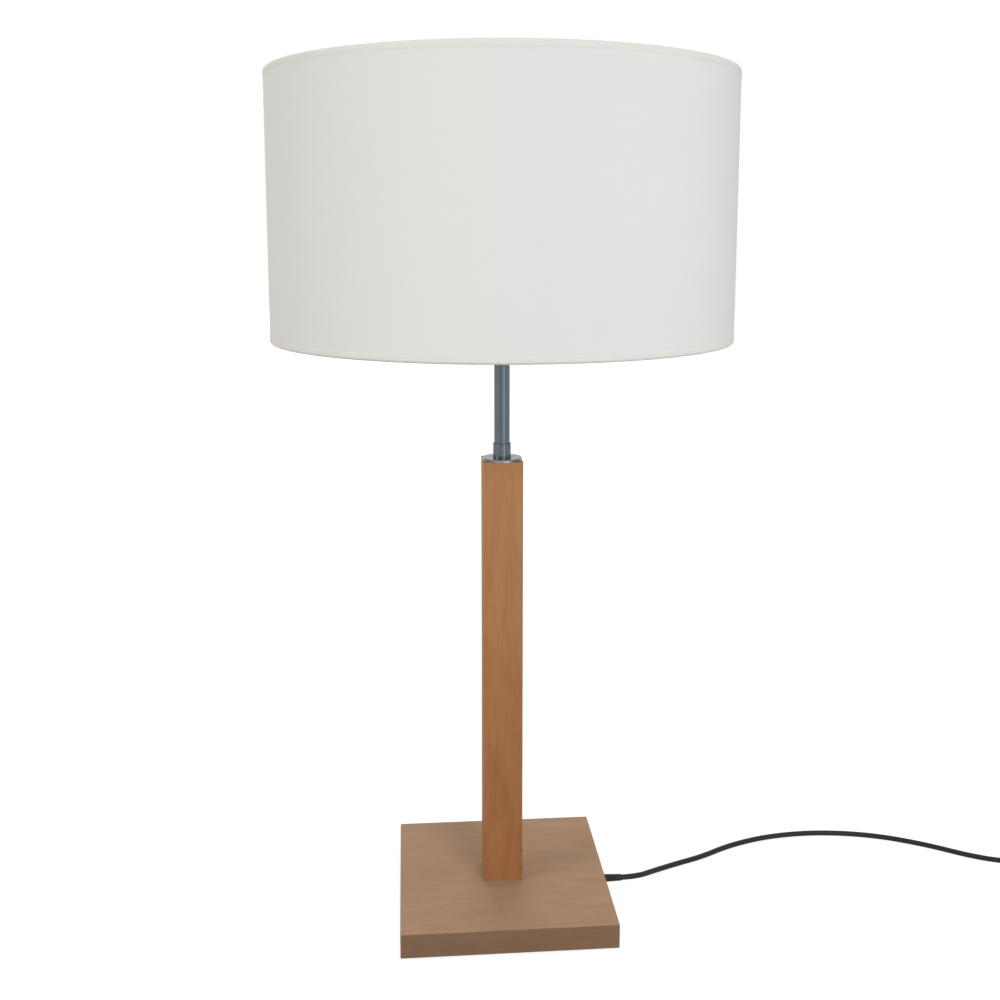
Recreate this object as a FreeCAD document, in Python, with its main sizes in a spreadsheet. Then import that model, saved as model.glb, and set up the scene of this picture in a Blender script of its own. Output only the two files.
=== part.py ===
import FreeCAD, Part
import Sketcher
import math
import os
from FreeCAD import Placement, Rotation, Vector

# Column table lamp: a square wooden board carries a square wooden post, a steel tube and a drum
# shade.  Millimetres, +Z up, origin at the centre of the surface that the lamp stands on.  The
# board's sides lie along X and Y, and the supply cord leaves its +X side.

DRIVING_SIZES = {
    # base board and its wiring recess
    "base_side": 190.0,
    "base_thick": 22.0,
    "edge_ease": 0.5,
    "pad_dia": 16.0,
    "pad_thick": 1.5,
    "pad_inset": 18.0,
    "recess_dia": 40.0,
    "recess_deep": 16.0,
    "cover_dia": 54.0,
    "cover_thick": 1.2,
    "cover_screw_dia": 2.2,
    "cover_screw_head": 4.4,
    "cover_screw_length": 9.0,
    "cord_bore_dia": 8.0,
    "cord_bore_height": 6.0,
    "cord_bore_back": 6.0,
    # post
    "column_side": 35.0,
    "column_length": 394.0,
    "column_bore": 11.0,
    "column_screw_dia": 3.6,
    "column_screw_head": 7.0,
    "column_screw_head_thick": 2.4,
    "column_screw_length": 30.0,
    "column_screw_offset": 10.8,
    # rod and its lower end
    "rod_dia": 10.0,
    "rod_bore": 7.6,
    "rod_free_end": 0.5,
    "rod_in_holder": 10.0,
    "washer_dia": 19.0,
    "washer_thick": 2.0,
    "lock_washer_dia": 15.0,
    "lock_washer_thick": 1.0,
    "nut_flats": 14.0,
    "nut_thick": 3.0,
    # steel stem
    "disc_dia": 36.0,
    "disc_thick": 2.0,
    "disc_bevel": 0.8,
    "collar_dia": 16.0,
    "collar_length": 13.0,
    "tube_dia": 14.0,
    "tube_wall": 1.0,
    "tube_length": 90.0,
    # lampholder, from its lower end up
    "dome_neck_dia": 18.0,
    "dome_neck_length": 7.0,
    "dome_dia": 43.0,
    "dome_length": 25.0,
    "dome_wall": 1.8,
    "grub_screw_dia": 3.0,
    "sleeve_dia": 39.2,
    "sleeve_wall": 1.6,
    "sleeve_in_dome": 8.6,
    "sleeve_length": 38.0,
    "insert_thick": 9.0,
    "insert_lift": 8.0,
    "terminal_dia": 4.6,
    "terminal_length": 5.0,
    "terminal_offset": 8.0,
    "contact_dia": 7.0,
    "contact_height": 2.0,
    "shell_dia": 28.2,
    "shell_wall": 0.6,
    "shell_length": 20.0,
    "ring_dia": 57.0,
    "ring_hub_dia": 47.0,
    "ring_flange": 2.0,
    "ring_height": 8.0,
    "ring_grip_dia": 5.0,
    # bulb
    "bulb_dia": 60.0,
    "bulb_length": 105.0,
    "bulb_wall": 1.0,
    "bulb_neck_dia": 29.0,
    "bulb_cap_dia": 26.2,
    "bulb_cap_length": 22.0,
    "bulb_insulator_height": 4.0,
    "bulb_contact_dia": 9.0,
    "bulb_contact_height": 1.5,
    # shade
    "shade_dia": 400.0,
    "shade_height": 225.0,
    "shade_bottom": 525.0,
    "skin_thick": 0.8,
    "hem_height": 9.0,
    "hem_notch": 9.0,
    "wire_dia": 3.0,
    "arm_dia": 2.8,
    "spider_ring_dia": 66.0,
    "spider_ring_thick": 2.0,
    # cord, in-line switch and plug
    "cord_dia": 5.0,
    "core_dia": 1.8,
    "core_spacing": 2.4,
    "gland_flange_dia": 11.4,
    "gland_flange_thick": 1.6,
    "gland_in_board": 14.0,
    "gland_tail_dia": 7.2,
    "gland_tail_end_dia": 6.0,
    "gland_tail": 20.0,
    "coil_radius": 38.0,
    "coil_pitch": 5.5,
    "coil_step": 5.5,
    "tie_width": 9.0,
    "tie_thick": 0.6,
    "switch_length": 62.0,
    "switch_width": 24.0,
    "switch_height": 15.0,
    "switch_split": 6.0,
    "switch_wall": 1.8,
    "switch_corner": 6.0,
    "rocker_length": 19.2,
    "rocker_width": 10.6,
    "rocker_gap": 0.4,
    "rocker_rise": 3.0,
    "rocker_dip": 2.0,
    "rocker_foot": 3.6,
    "rocker_tilt": 8.0,
    "trunnion_dia": 2.0,
    "trunnion_play": 0.05,
    "pivot_height": 12.2,
    "cheek_wall": 1.6,
    "switch_screw_dia": 2.4,
    "switch_screw_head": 4.6,
    "switch_screw_offset": 23.0,
    "strip_length": 9.0,
    "strip_width": 5.0,
    "strip_thick": 0.8,
    "strip_offset": 13.0,
    "plug_length": 36.0,
    "plug_width": 35.3,
    "plug_thick": 13.7,
    "plug_neck_width": 14.0,
    "plug_tail": 16.0,
    "plug_tail_dia": 9.0,
    "pin_dia": 4.0,
    "pin_shank_dia": 3.0,
    "pin_length": 19.0,
    "pin_sleeve_length": 10.0,
    "pin_root": 8.0,
    "pin_spacing": 18.6,
    # shared clearances
    "rod_play": 0.4,
    "screw_play": 0.1,
    "slide_play": 0.1,
    "seat_gap": 0.3,
}

document = FreeCAD.newDocument("column_table_lamp")
sheet = document.addObject("Spreadsheet::Sheet", "sizes")
for row, (alias, value) in enumerate(DRIVING_SIZES.items(), start=1):
    sheet.set("A%d" % row, alias)
    sheet.set("B%d" % row, str(value))
    sheet.setAlias("B%d" % row, alias)
document.recompute()


class Size:
    """A number worked out from the sheet, with the expression that keeps it tied to the sheet."""

    def __init__(self, number, words):
        self.number = number
        self.words = words

    def __add__(self, other):
        return Size(self.number + number(other), "(%s + %s)" % (self.words, words(other)))

    def __sub__(self, other):
        return Size(self.number - number(other), "(%s - %s)" % (self.words, words(other)))

    def __mul__(self, other):
        return Size(self.number * number(other), "(%s * %s)" % (self.words, words(other)))

    def __truediv__(self, other):
        return Size(self.number / number(other), "(%s / %s)" % (self.words, words(other)))

    def __radd__(self, other):
        return Size(number(other) + self.number, "(%s + %s)" % (words(other), self.words))

    def __rsub__(self, other):
        return Size(number(other) - self.number, "(%s - %s)" % (words(other), self.words))

    def __neg__(self):
        return Size(-self.number, "(0 - %s)" % self.words)


def number(value):
    return value.number if isinstance(value, Size) else float(value)


def words(value):
    return value.words if isinstance(value, Size) else repr(value)


def size(alias):
    return Size(float(sheet.get(alias)), "sizes." + alias)


def root(value):
    return Size(math.sqrt(number(value)), "sqrt(%s)" % words(value))


def bind(thing, **values):
    """Sets properties, and ties those that come from the sheet to it."""
    for name, value in values.items():
        setattr(thing, name, number(value))
        if isinstance(value, Size):
            thing.setExpression(name, value.words)


def settle(thing, x=0, y=0, z=0, turn=None, home="Placement"):
    """Places a thing, optionally turned, and ties its coordinates to the sheet."""
    placement = Placement(Vector(number(x), number(y), number(z)), turn or Rotation())
    setattr(thing, home, placement)
    for axis, value in zip("xyz", (x, y, z)):
        if isinstance(value, Size):
            thing.setExpression("%s.Base.%s" % (home, axis), value.words)
    return thing


# --- sketches and bodies -------------------------------------------------------------------------


def new_body(label):
    body = document.addObject("PartDesign::Body", label)
    body.Label = label
    return body


def origin_plane(body, role):
    return next(f for f in body.Origin.OriginFeatures if f.Role == role)


def new_sketch(body, role, lift=0):
    """A sketch on one of the body's own origin planes, lifted along the plane's normal."""
    sketch = body.newObject("Sketcher::SketchObject", body.Name + "_sketch")
    sketch.AttachmentSupport = [(origin_plane(body, role), "")]
    sketch.MapMode = "FlatFace"
    settle(sketch, z=lift, home="AttachmentOffset")
    return sketch


def pin_point(sketch, shape, end, x, y):
    """Ties a sketch point to its coordinates."""
    for axis, value, line in (("X", x, -2), ("Y", y, -1)):
        if isinstance(value, Size) or value != 0:
            at = sketch.addConstraint(
                Sketcher.Constraint("Distance" + axis, -1, 1, shape, end, number(value))
            )
            if isinstance(value, Size):
                sketch.setExpression("Constraints[%d]" % at, value.words)
        else:
            sketch.addConstraint(Sketcher.Constraint("PointOnObject", shape, end, line))


def outline(sketch, points):
    """A closed outline.  A point is (x, y), or (x, y, radius, side) where the side that ends there
    is an arc: side 1 bulges to the left of the way from the last point, and -1 to the right."""
    ends = []
    for index, point in enumerate(points):
        start = Vector(number(points[index - 1][0]), number(points[index - 1][1]), 0)
        end = Vector(number(point[0]), number(point[1]), 0)
        if len(point) == 2:
            ends.append((sketch.addGeometry(Part.LineSegment(start, end), False), 1, 2))
            continue
        radius, side = number(point[2]), point[3]
        half = (end - start) / 2
        left = Vector(-half.y, half.x, 0).normalize()
        drop = math.sqrt(max(radius**2 - half.Length**2, 0))
        centre = start + half - left * side * drop
        circle = Part.Circle(centre, Vector(0, 0, 1), radius)
        first, last = (end, start) if side > 0 else (start, end)
        angles = [math.atan2(p.y - centre.y, p.x - centre.x) for p in (first, last)]
        shape = sketch.addGeometry(Part.ArcOfCircle(circle, angles[0], angles[1]), False)
        ends.append((shape, 2, 1) if side > 0 else (shape, 1, 2))
        at = sketch.addConstraint(Sketcher.Constraint("Radius", shape, radius))
        if isinstance(point[2], Size):
            sketch.setExpression("Constraints[%d]" % at, point[2].words)
    for index, (shape, _, end) in enumerate(ends):
        following, start, _ = ends[(index + 1) % len(ends)]
        sketch.addConstraint(Sketcher.Constraint("Coincident", shape, end, following, start))
        pin_point(sketch, shape, end, points[index][0], points[index][1])
    return sketch


def circle(sketch, x, y, radius):
    centre = Vector(number(x), number(y), 0)
    shape = sketch.addGeometry(Part.Circle(centre, Vector(0, 0, 1), number(radius)), False)
    at = sketch.addConstraint(Sketcher.Constraint("Radius", shape, number(radius)))
    if isinstance(radius, Size):
        sketch.setExpression("Constraints[%d]" % at, radius.words)
    pin_point(sketch, shape, 3, x, y)
    return sketch


def rectangle(sketch, low_x, low_y, high_x, high_y):
    return outline(sketch, [(low_x, low_y), (high_x, low_y), (high_x, high_y), (low_x, high_y)])


def feature(body, kind, sketch, **values):
    made = body.newObject("PartDesign::" + kind, body.Name + "_" + kind)
    made.Profile = sketch
    bind(made, **values)
    sketch.Visibility = False
    return made


def pad(body, sketch, length, down=False):
    made = feature(body, "Pad", sketch, Length=length)
    made.Reversed = down
    return made


def pocket(body, sketch, length=None, up=False, middle=False):
    """Cuts below the sketch, above it where up is set, or half each way where middle is set; right
    through without a length."""
    document.recompute()
    before = body.Shape.Volume
    made = body.newObject("PartDesign::Pocket", body.Name + "_Pocket")
    made.Profile = sketch
    made.Reversed = up
    made.Midplane = middle or length is None
    if length is None:
        made.Type = "ThroughAll"
    else:
        bind(made, Length=length)
    sketch.Visibility = False
    document.recompute()
    if body.Shape.Volume >= before - 1e-6:
        raise SystemExit("a pocket in %s cuts nothing" % body.Label)
    return made


def revolve(body, sketch, axis="V_Axis", kind="Revolution"):
    made = feature(body, kind, sketch)
    made.ReferenceAxis = (sketch, [axis])
    made.Angle = 360
    return made


def repeat_round(body, original, count):
    """Copies a feature round the body's Z axis."""
    pattern = body.newObject("PartDesign::PolarPattern", body.Name + "_PolarPattern")
    pattern.Originals = [original]
    pattern.Axis = (origin_plane(body, "Z_Axis"), [""])
    pattern.Angle = 360
    pattern.Occurrences = count
    body.Tip = pattern
    return pattern


def ease(body, kind, radius, wanted):
    """Fillets or chamfers the edges of the body that the test picks."""
    document.recompute()
    base = body.Tip
    names = ["Edge%d" % (i + 1) for i, edge in enumerate(base.Shape.Edges) if wanted(edge)]
    made = body.newObject("PartDesign::" + kind, body.Name + "_" + kind)
    made.Base = (base, names)
    bind(made, **{"Radius" if kind == "Fillet" else "Size": radius})
    return made


def turned(label, points, z=0, x=0, y=0):
    """A turned piece: an outline of (radius, height) points spun round Z."""
    body = new_body(label)
    revolve(body, outline(new_sketch(body, "XZ_Plane"), points))
    return settle(body, x, y, z)


def ring_section(inner, outer, low, high):
    return [(inner, low), (outer, low), (outer, high), (inner, high)]


# --- plain solids --------------------------------------------------------------------------------

AXIS_TURNS = {
    "z": Rotation(),
    "x": Rotation(Vector(0, 1, 0), 90),
    "y": Rotation(Vector(1, 0, 0), -90),
}


def cylinder(radius, height, x=0, y=0, z=0, axis="z"):
    made = document.addObject("Part::Cylinder", "rod")
    bind(made, Radius=radius, Height=height)
    return settle(made, x, y, z, AXIS_TURNS[axis])


def cone(low_radius, high_radius, height, x=0, y=0, z=0, axis="z"):
    made = document.addObject("Part::Cone", "taper")
    bind(made, Radius1=low_radius, Radius2=high_radius, Height=height)
    return settle(made, x, y, z, AXIS_TURNS[axis])


def block(length, width, height, x=0, y=0, z=0):
    """A box centred on x and y, standing on z."""
    made = document.addObject("Part::Box", "block")
    bind(made, Length=length, Width=width, Height=height)
    return settle(made, x - length / 2, y - width / 2, z)


def cut(base, tool):
    made = document.addObject("Part::Cut", "cut")
    made.Base = base
    made.Tool = tool
    return made


def fuse(*pieces):
    made = document.addObject("Part::MultiFuse", "union")
    made.Shapes = list(pieces)
    return made


def named(label, made):
    made.Label = label
    return made


def group(label, pieces):
    """Several like pieces that share one name, as separate solids."""
    made = document.addObject("Part::Compound", label)
    made.Links = pieces
    return named(label, made)


# --- cord paths ----------------------------------------------------------------------------------


def chord_middle(start, way, end):
    """The middle of the arc that leaves start along way and ends at end."""
    chord = end - start
    along = Vector(chord).normalize()
    out = way - along * way.dot(along)
    if out.Length < 1e-9:
        return None
    angle = math.atan2(out.Length, way.dot(along))
    return (start + end) / 2 + out.normalize() * (chord.Length / 2 * math.tan(angle / 2))


def arc_or_line(start, way, end):
    middle = chord_middle(start, way, end)
    if middle is None:
        return Part.LineSegment(start, end)
    return Part.Arc(start, middle, end)


def bent_path(label, points, limits=None):
    """Straight runs joined by tangent arcs, each as large as its two runs allow, or as the limit
    that is given for the point's place in the list."""
    limits = limits or {}
    edges = []
    radii = []
    last = points[0]
    for index, (before, corner, after) in enumerate(zip(points, points[1:], points[2:]), start=1):
        inward = (corner - before).normalize()
        outward = (after - corner).normalize()
        half_turn = inward.getAngle(outward) / 2
        shorter = min((corner - before).Length, (after - corner).Length)
        reach = 0.45 * shorter
        if index in limits:
            reach = min(reach, limits[index] * math.tan(half_turn))
        radii.append(reach / math.tan(half_turn))
        start = corner - inward * reach
        end = corner + outward * reach
        edges.append(Part.LineSegment(last, start))
        edges.append(arc_or_line(start, inward, end))
        last = end
    edges.append(Part.LineSegment(last, points[-1]))
    print(label, "bend radii", " ".join("%.0f" % r for r in radii))
    return Part.Wire([e.toShape() for e in edges])


# Cords and wires have this many flat sides, one of them underneath; their corners lie on the
# true round section.
CORD_SIDES = 8


def cord_section(centre, way, diameter):
    across = Vector(0, 0, 1) if abs(way.z) < 0.9 else Vector(1, 0, 0)
    side = across.cross(way).normalize()
    up = Vector(way).cross(side).normalize()
    corners = []
    for index in range(CORD_SIDES + 1):
        angle = 2 * math.pi * (index + 0.5) / CORD_SIDES
        corners.append(centre + (side * math.cos(angle) + up * math.sin(angle)) * (diameter / 2))
    return Part.Wire(Part.makePolygon(corners))


def swept(path, diameter):
    edge = path.OrderedEdges[0]
    start = edge.valueAt(edge.FirstParameter)
    way = edge.tangentAt(edge.FirstParameter)
    return path.makePipeShell([cord_section(start, way, diameter)], True, False)


def tube_along(label, path, diameter):
    """A cord along a path; its volume is compared with its section times its length."""
    solid = swept(path, diameter)
    section = math.sin(2 * math.pi / CORD_SIDES) * CORD_SIDES / 2 * (diameter / 2) ** 2
    ratio = solid.Volume / (section * path.Length)
    print(label, "length %.1f, volume ratio %.4f" % (path.Length, ratio))
    made = document.addObject("Part::Feature", label)
    made.Shape = solid
    return named(label, made)


# --- heights that several pieces share -----------------------------------------------------------

board_low = size("pad_thick")
board_top = board_low + size("base_thick")
recess_roof = board_low + size("recess_deep")
washer_low = recess_roof - size("washer_thick")
lock_washer_low = washer_low - size("lock_washer_thick")
nut_low = lock_washer_low - size("nut_thick")
rod_low = nut_low - size("rod_free_end")
column_top = board_top + size("column_length")
disc_top = column_top + size("disc_thick")
holder_low = disc_top + size("tube_length")
rod_top = holder_low + size("rod_in_holder")
sleeve_low = holder_low + size("dome_length") - size("sleeve_in_dome")
insert_low = sleeve_low + size("insert_lift")
insert_top = insert_low + size("insert_thick")
shade_top = size("shade_bottom") + size("shade_height")
cord_bore_z = board_low + size("cord_bore_height")
tie_low = size("slide_play")
coil_low = tie_low + size("tie_thick") + size("slide_play") * 2 + size("cord_dia") / 2
half_board = size("base_side") / 2
rod_clear = size("rod_dia") / 2 + size("rod_play") / 2


# --- base ----------------------------------------------------------------------------------------


def base_board():
    """Square board: recess and cover seat cut from below, holes through the recess roof, and a
    bore from the recess to the +X side for the cord."""
    body = new_body("base_board")
    half = half_board
    pad(body, rectangle(new_sketch(body, "XY_Plane"), -half, -half, half, half), size("base_thick"))
    ease(body, "Chamfer", size("edge_ease"), lambda edge: edge.Length > 10)
    recess = circle(new_sketch(body, "XY_Plane"), 0, 0, size("recess_dia") / 2)
    pocket(body, recess, size("recess_deep"), up=True)
    seat = circle(new_sketch(body, "XY_Plane"), 0, 0, size("cover_dia") / 2 + size("screw_play"))
    pocket(body, seat, size("cover_thick"), up=True)
    roof = new_sketch(body, "XY_Plane")
    circle(roof, 0, 0, rod_clear)
    offset = size("column_screw_offset")
    for side in (1, -1):
        hole = size("column_screw_dia") / 2 + size("screw_play") / 2
        circle(roof, offset * side, offset * side, hole)
    pocket(body, roof)
    pilots = new_sketch(body, "XY_Plane")
    for x, y in cover_screw_places():
        circle(pilots, x, y, size("cover_screw_dia") / 2 + size("screw_play") / 2)
    pocket(body, pilots, size("cover_screw_length"), up=True)
    side_bore = new_sketch(body, "YZ_Plane")
    circle(side_bore, size("cord_bore_back"), size("cord_bore_height"), size("cord_bore_dia") / 2)
    pocket(body, side_bore, half + 1, up=True)
    settle(body, z=board_low)


def cover_screw_places():
    """Three screws in the margin between the recess and the cover's edge."""
    middle = (size("recess_dia") + size("cover_dia")) / 4
    return [(-middle, 0), (middle * 0.5, middle * 0.866), (middle * 0.5, middle * -0.866)]


def felt_pads():
    out = half_board - size("pad_inset")
    pads = [
        cylinder(size("pad_dia") / 2, size("pad_thick"), out * x, out * y)
        for x in (-1, 1)
        for y in (-1, 1)
    ]
    group("felt_pads", pads)


def recess_cover():
    body = new_body("recess_cover")
    disc = circle(new_sketch(body, "XY_Plane"), 0, 0, size("cover_dia") / 2)
    pad(body, disc, size("cover_thick"))
    holes = new_sketch(body, "XY_Plane")
    for x, y in cover_screw_places():
        circle(holes, x, y, size("cover_screw_dia") / 2 + size("screw_play"))
    pocket(body, holes)
    settle(body, z=board_low)


def cover_screws():
    """Round-headed screws; the heads stay clear of the ground between the pads."""
    head_thick = size("pad_thick") * 0.6
    screws = []
    for x, y in cover_screw_places():
        head = cylinder(size("cover_screw_head") / 2, head_thick, x, y, board_low - head_thick)
        length = size("cover_screw_length") - 1
        screws.append(fuse(head, cylinder(size("cover_screw_dia") / 2, length, x, y, board_low)))
    group("cover_screws", screws)


# --- post and the rod that clamps the lamp -------------------------------------------------------


def column_post():
    body = new_body("column_post")
    half = size("column_side") / 2
    pad(
        body,
        rectangle(new_sketch(body, "XY_Plane"), -half, -half, half, half),
        size("column_length"),
    )
    tall = number(size("column_length")) * 0.9
    ease(body, "Chamfer", size("edge_ease"), lambda edge: edge.Length > tall)
    pocket(body, circle(new_sketch(body, "XY_Plane"), 0, 0, size("column_bore") / 2))
    pilots = new_sketch(body, "XY_Plane")
    offset = size("column_screw_offset")
    for side in (1, -1):
        hole = size("column_screw_dia") / 2 + size("screw_play") / 2
        circle(pilots, offset * side, offset * side, hole)
    pocket(body, pilots, recess_roof + size("column_screw_length") - board_top + 1, up=True)
    settle(body, z=board_top)


def column_screws():
    offset = size("column_screw_offset")
    thick = size("column_screw_head_thick")
    screws = []
    for side in (1, -1):
        x, y = offset * side, offset * side
        head = cylinder(size("column_screw_head") / 2, thick, x, y, recess_roof - thick)
        shank = cylinder(
            size("column_screw_dia") / 2, size("column_screw_length"), x, y, recess_roof
        )
        screws.append(fuse(head, shank))
    group("column_screws", screws)


def threaded_rod():
    outer, inner = size("rod_dia") / 2, size("rod_bore") / 2
    length = rod_top - rod_low
    lead = size("rod_play") / 2
    turned(
        "threaded_rod",
        [
            (inner, 0),
            (outer - lead, 0),
            (outer, lead),
            (outer, length - lead),
            (outer - lead, length),
            (inner, length),
        ],
        z=rod_low,
    )


def rod_end_hardware():
    section = ring_section(rod_clear, size("washer_dia") / 2, 0, size("washer_thick"))
    turned("base_washer", section, z=washer_low)
    lock = new_body("base_lock_washer")
    section = ring_section(rod_clear, size("lock_washer_dia") / 2, 0, size("lock_washer_thick"))
    revolve(lock, outline(new_sketch(lock, "XZ_Plane"), section))
    slit = new_sketch(lock, "XY_Plane")
    width = size("lock_washer_thick") / 2
    rectangle(slit, 0, -width, size("lock_washer_dia"), width)
    pocket(lock, slit)
    settle(lock, z=lock_washer_low)
    nut = new_body("base_nut")
    flat = size("nut_flats") / 2
    corner = flat * 1.1547
    hexagon = [
        (corner, 0),
        (corner / 2, flat),
        (-corner / 2, flat),
        (-corner, 0),
        (-corner / 2, -flat),
        (corner / 2, -flat),
    ]
    pad(nut, outline(new_sketch(nut, "XY_Plane"), hexagon), size("nut_thick"))
    bore = size("rod_dia") / 2 + size("screw_play") / 2
    pocket(nut, circle(new_sketch(nut, "XY_Plane"), 0, 0, bore))
    settle(nut, z=nut_low)


def steel_stem():
    radius, thick, bevel = size("disc_dia") / 2, size("disc_thick"), size("disc_bevel")
    turned(
        "cap_disc",
        [
            (rod_clear, 0),
            (radius, 0),
            (radius, thick - bevel),
            (radius - bevel, thick),
            (rod_clear, thick),
        ],
        z=column_top,
    )
    radius, length = size("collar_dia") / 2, size("collar_length")
    bore = size("tube_dia") / 2 + size("slide_play") / 2
    lead = (radius - bore) / 3
    turned(
        "stem_collar",
        [(bore, 0), (radius, 0), (radius, length - lead), (radius - lead, length), (bore, length)],
        z=disc_top,
    )
    outer = size("tube_dia") / 2
    section = ring_section(outer - size("tube_wall"), outer, 0, size("tube_length"))
    turned("stem_tube", section, z=disc_top)


# --- lampholder ----------------------------------------------------------------------------------


def holder_dome():
    """Bell-shaped cap: a neck on the rod, then a quarter-round flare to a straight skirt."""
    body = new_body("holder_dome")
    wall = size("dome_wall")
    neck, rim = size("dome_neck_dia") / 2, size("dome_dia") / 2
    bore = size("rod_dia") / 2 + size("screw_play") / 2
    low, high = size("dome_neck_length"), size("dome_length")
    flare = rim - neck
    bend = flare - wall
    revolve(
        body,
        outline(
            new_sketch(body, "XZ_Plane"),
            [
                (bore, 0),
                (neck, 0),
                (neck, low - wall),
                (rim, low - wall + flare, flare, -1),
                (rim, high),
                (rim - wall, high),
                (rim - wall, low + bend),
                (neck, low, bend, 1),
                (bore, low),
            ],
        ),
    )
    hole = new_sketch(body, "YZ_Plane")
    circle(hole, 0, low * 0.4, size("grub_screw_dia") / 2 + size("screw_play") / 2)
    pocket(body, hole, neck + 1)
    settle(body, z=holder_low)


def holder_grub_screw():
    start = size("rod_dia") / 2 + size("screw_play")
    length = size("dome_neck_dia") / 2 - start
    height = holder_low + size("dome_neck_length") * 0.4
    screw = cylinder(size("grub_screw_dia") / 2, length, -(start + length), 0, height, "x")
    slot = block(
        length / 3,
        size("grub_screw_dia") * 2,
        size("grub_screw_dia") / 5,
        -(start + length),
        0,
        height - size("grub_screw_dia") / 10,
    )
    named("holder_grub_screw", cut(screw, slot))


def holder_inside():
    """Outer sleeve, insulating insert with its terminals, threaded shell and centre contact."""
    outer = size("sleeve_dia") / 2
    inner = outer - size("sleeve_wall")
    section = ring_section(inner, outer, 0, size("sleeve_length"))
    turned("holder_sleeve", section, z=sleeve_low)
    insert = new_body("holder_insert")
    thick = size("insert_thick")
    radius = inner - size("slide_play")
    shell_seat = size("shell_dia") / 2 + size("slide_play")
    groove = size("shell_wall") + size("slide_play") * 2
    revolve(
        insert,
        outline(
            new_sketch(insert, "XZ_Plane"),
            [
                (0, 0),
                (radius, 0),
                (radius, thick),
                (shell_seat, thick),
                (shell_seat, thick / 2),
                (shell_seat - groove, thick / 2),
                (shell_seat - groove, thick),
                (0, thick),
            ],
        ),
    )
    holes = new_sketch(insert, "XY_Plane")
    for side in (1, -1):
        radius = size("terminal_dia") / 4 + size("screw_play") / 2
        circle(holes, size("terminal_offset") * side, 0, radius)
    pocket(insert, holes, size("terminal_length"), up=True)
    settle(insert, z=insert_low)
    outer = size("shell_dia") / 2
    length = size("shell_length")
    section = ring_section(outer - size("shell_wall"), outer, 0, length)
    turned("holder_thread_shell", section, z=insert_top - thick / 2)
    radius = size("contact_dia") / 2
    height = size("contact_height")
    turned(
        "centre_contact",
        [(0, 0), (radius, 0), (radius, height / 2), (radius / 2, height), (0, height)],
        z=insert_top,
    )
    screws = []
    for side in (1, -1):
        x = size("terminal_offset") * side
        head = size("terminal_length") / 3
        shank = size("terminal_length") - size("seat_gap")
        screws.append(
            fuse(
                cylinder(size("terminal_dia") / 2, head, x, 0, insert_low - head),
                cylinder(size("terminal_dia") / 4, shank, x, 0, insert_low),
            )
        )
    group("terminal_screws", screws)


def shade_ring(label, z, flange_up):
    """Screw ring: a flat flange against the shade's centre ring and a hub with grip scallops."""
    body = new_body(label)
    bore = size("sleeve_dia") / 2 + size("slide_play")
    hub, rim = size("ring_hub_dia") / 2, size("ring_dia") / 2
    flange, height = size("ring_flange"), size("ring_height")
    if flange_up:
        low, high = height - flange, height
        section = [(bore, 0), (hub, 0), (hub, low), (rim, low), (rim, high), (bore, high)]
        scallop_low = 0
    else:
        section = [(bore, 0), (rim, 0), (rim, flange), (hub, flange), (hub, height), (bore, height)]
        scallop_low = flange
    revolve(body, outline(new_sketch(body, "XZ_Plane"), section))
    scallop = new_sketch(body, "XY_Plane", lift=scallop_low)
    circle(scallop, hub + size("ring_grip_dia") * 0.25, 0, size("ring_grip_dia") / 2)
    notch = pocket(body, scallop, height - flange, up=True)
    repeat_round(body, notch, 12)
    settle(body, z=z)


# --- bulb ----------------------------------------------------------------------------------------

bulb_low = insert_top + size("contact_height")
bulb_cap_low = bulb_low + size("bulb_contact_height") + size("bulb_insulator_height")
bulb_neck_z = bulb_cap_low + size("bulb_cap_length")
bulb_top = bulb_low + size("bulb_length")


def bulb():
    contact, height = size("bulb_contact_dia") / 2, size("bulb_contact_height")
    turned(
        "bulb_contact",
        [(0, 0), (contact / 2, 0), (contact, height), (0, height)],
        z=bulb_low,
    )
    cap = size("bulb_cap_dia") / 2
    rise = size("bulb_insulator_height")
    turned(
        "bulb_insulator",
        [(0, 0), (contact, 0), (cap - 1, rise), (0, rise)],
        z=bulb_low + height,
    )
    neck = size("bulb_neck_dia") / 2
    length = size("bulb_cap_length")
    wall = size("shell_wall")
    turned(
        "bulb_cap",
        [
            (0, 0),
            (cap - 1, 0),
            (cap, 1),
            (cap, length * 0.72),
            (neck, length),
            (neck - wall, length),
            (cap - wall, length * 0.72),
            (cap - wall, wall + 1),
            (0, wall + 1),
        ],
        z=bulb_cap_low,
    )
    bulb_glass()


def bulb_glass():
    """Pear-shaped glass: a round globe, and a neck whose hollow curve runs smoothly into it."""
    globe = size("bulb_dia") / 2
    neck = size("bulb_neck_dia") / 2 - size("seat_gap")
    wall = size("bulb_wall")
    centre = bulb_top - globe - bulb_neck_z
    swell = (neck * neck + centre * centre - globe * globe) / ((globe - neck) * 2)
    share = (neck + swell) / (globe + swell)
    drop = centre / (globe + swell)
    inner = globe - wall
    turned(
        "bulb_glass",
        [
            (neck, 0),
            (globe * share, centre - globe * drop, swell, 1),
            (0, centre + globe, globe, -1),
            (0, centre + inner),
            (inner * share, centre - inner * drop, inner, 1),
            (neck - wall, 0, swell + wall, -1),
        ],
        z=bulb_neck_z,
    )


# --- shade ---------------------------------------------------------------------------------------


def hem_section(outer, low, turn):
    """The turned-in hem, as points from the outer wall inwards: turn is 1 up and -1 down."""
    thick = size("skin_thick")
    inner = outer - hem_width()
    return [
        (outer, low),
        (inner, low),
        (inner, low + size("hem_height") * turn),
        (inner + thick, low + size("hem_height") * turn),
        (inner + thick, low + thick * turn),
        (outer - thick, low + thick * turn),
    ]


def hem_width():
    """The channel fits the wire between the wall and the hem's lip."""
    return size("wire_dia") + size("skin_thick") * 2 + size("slide_play")


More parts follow.
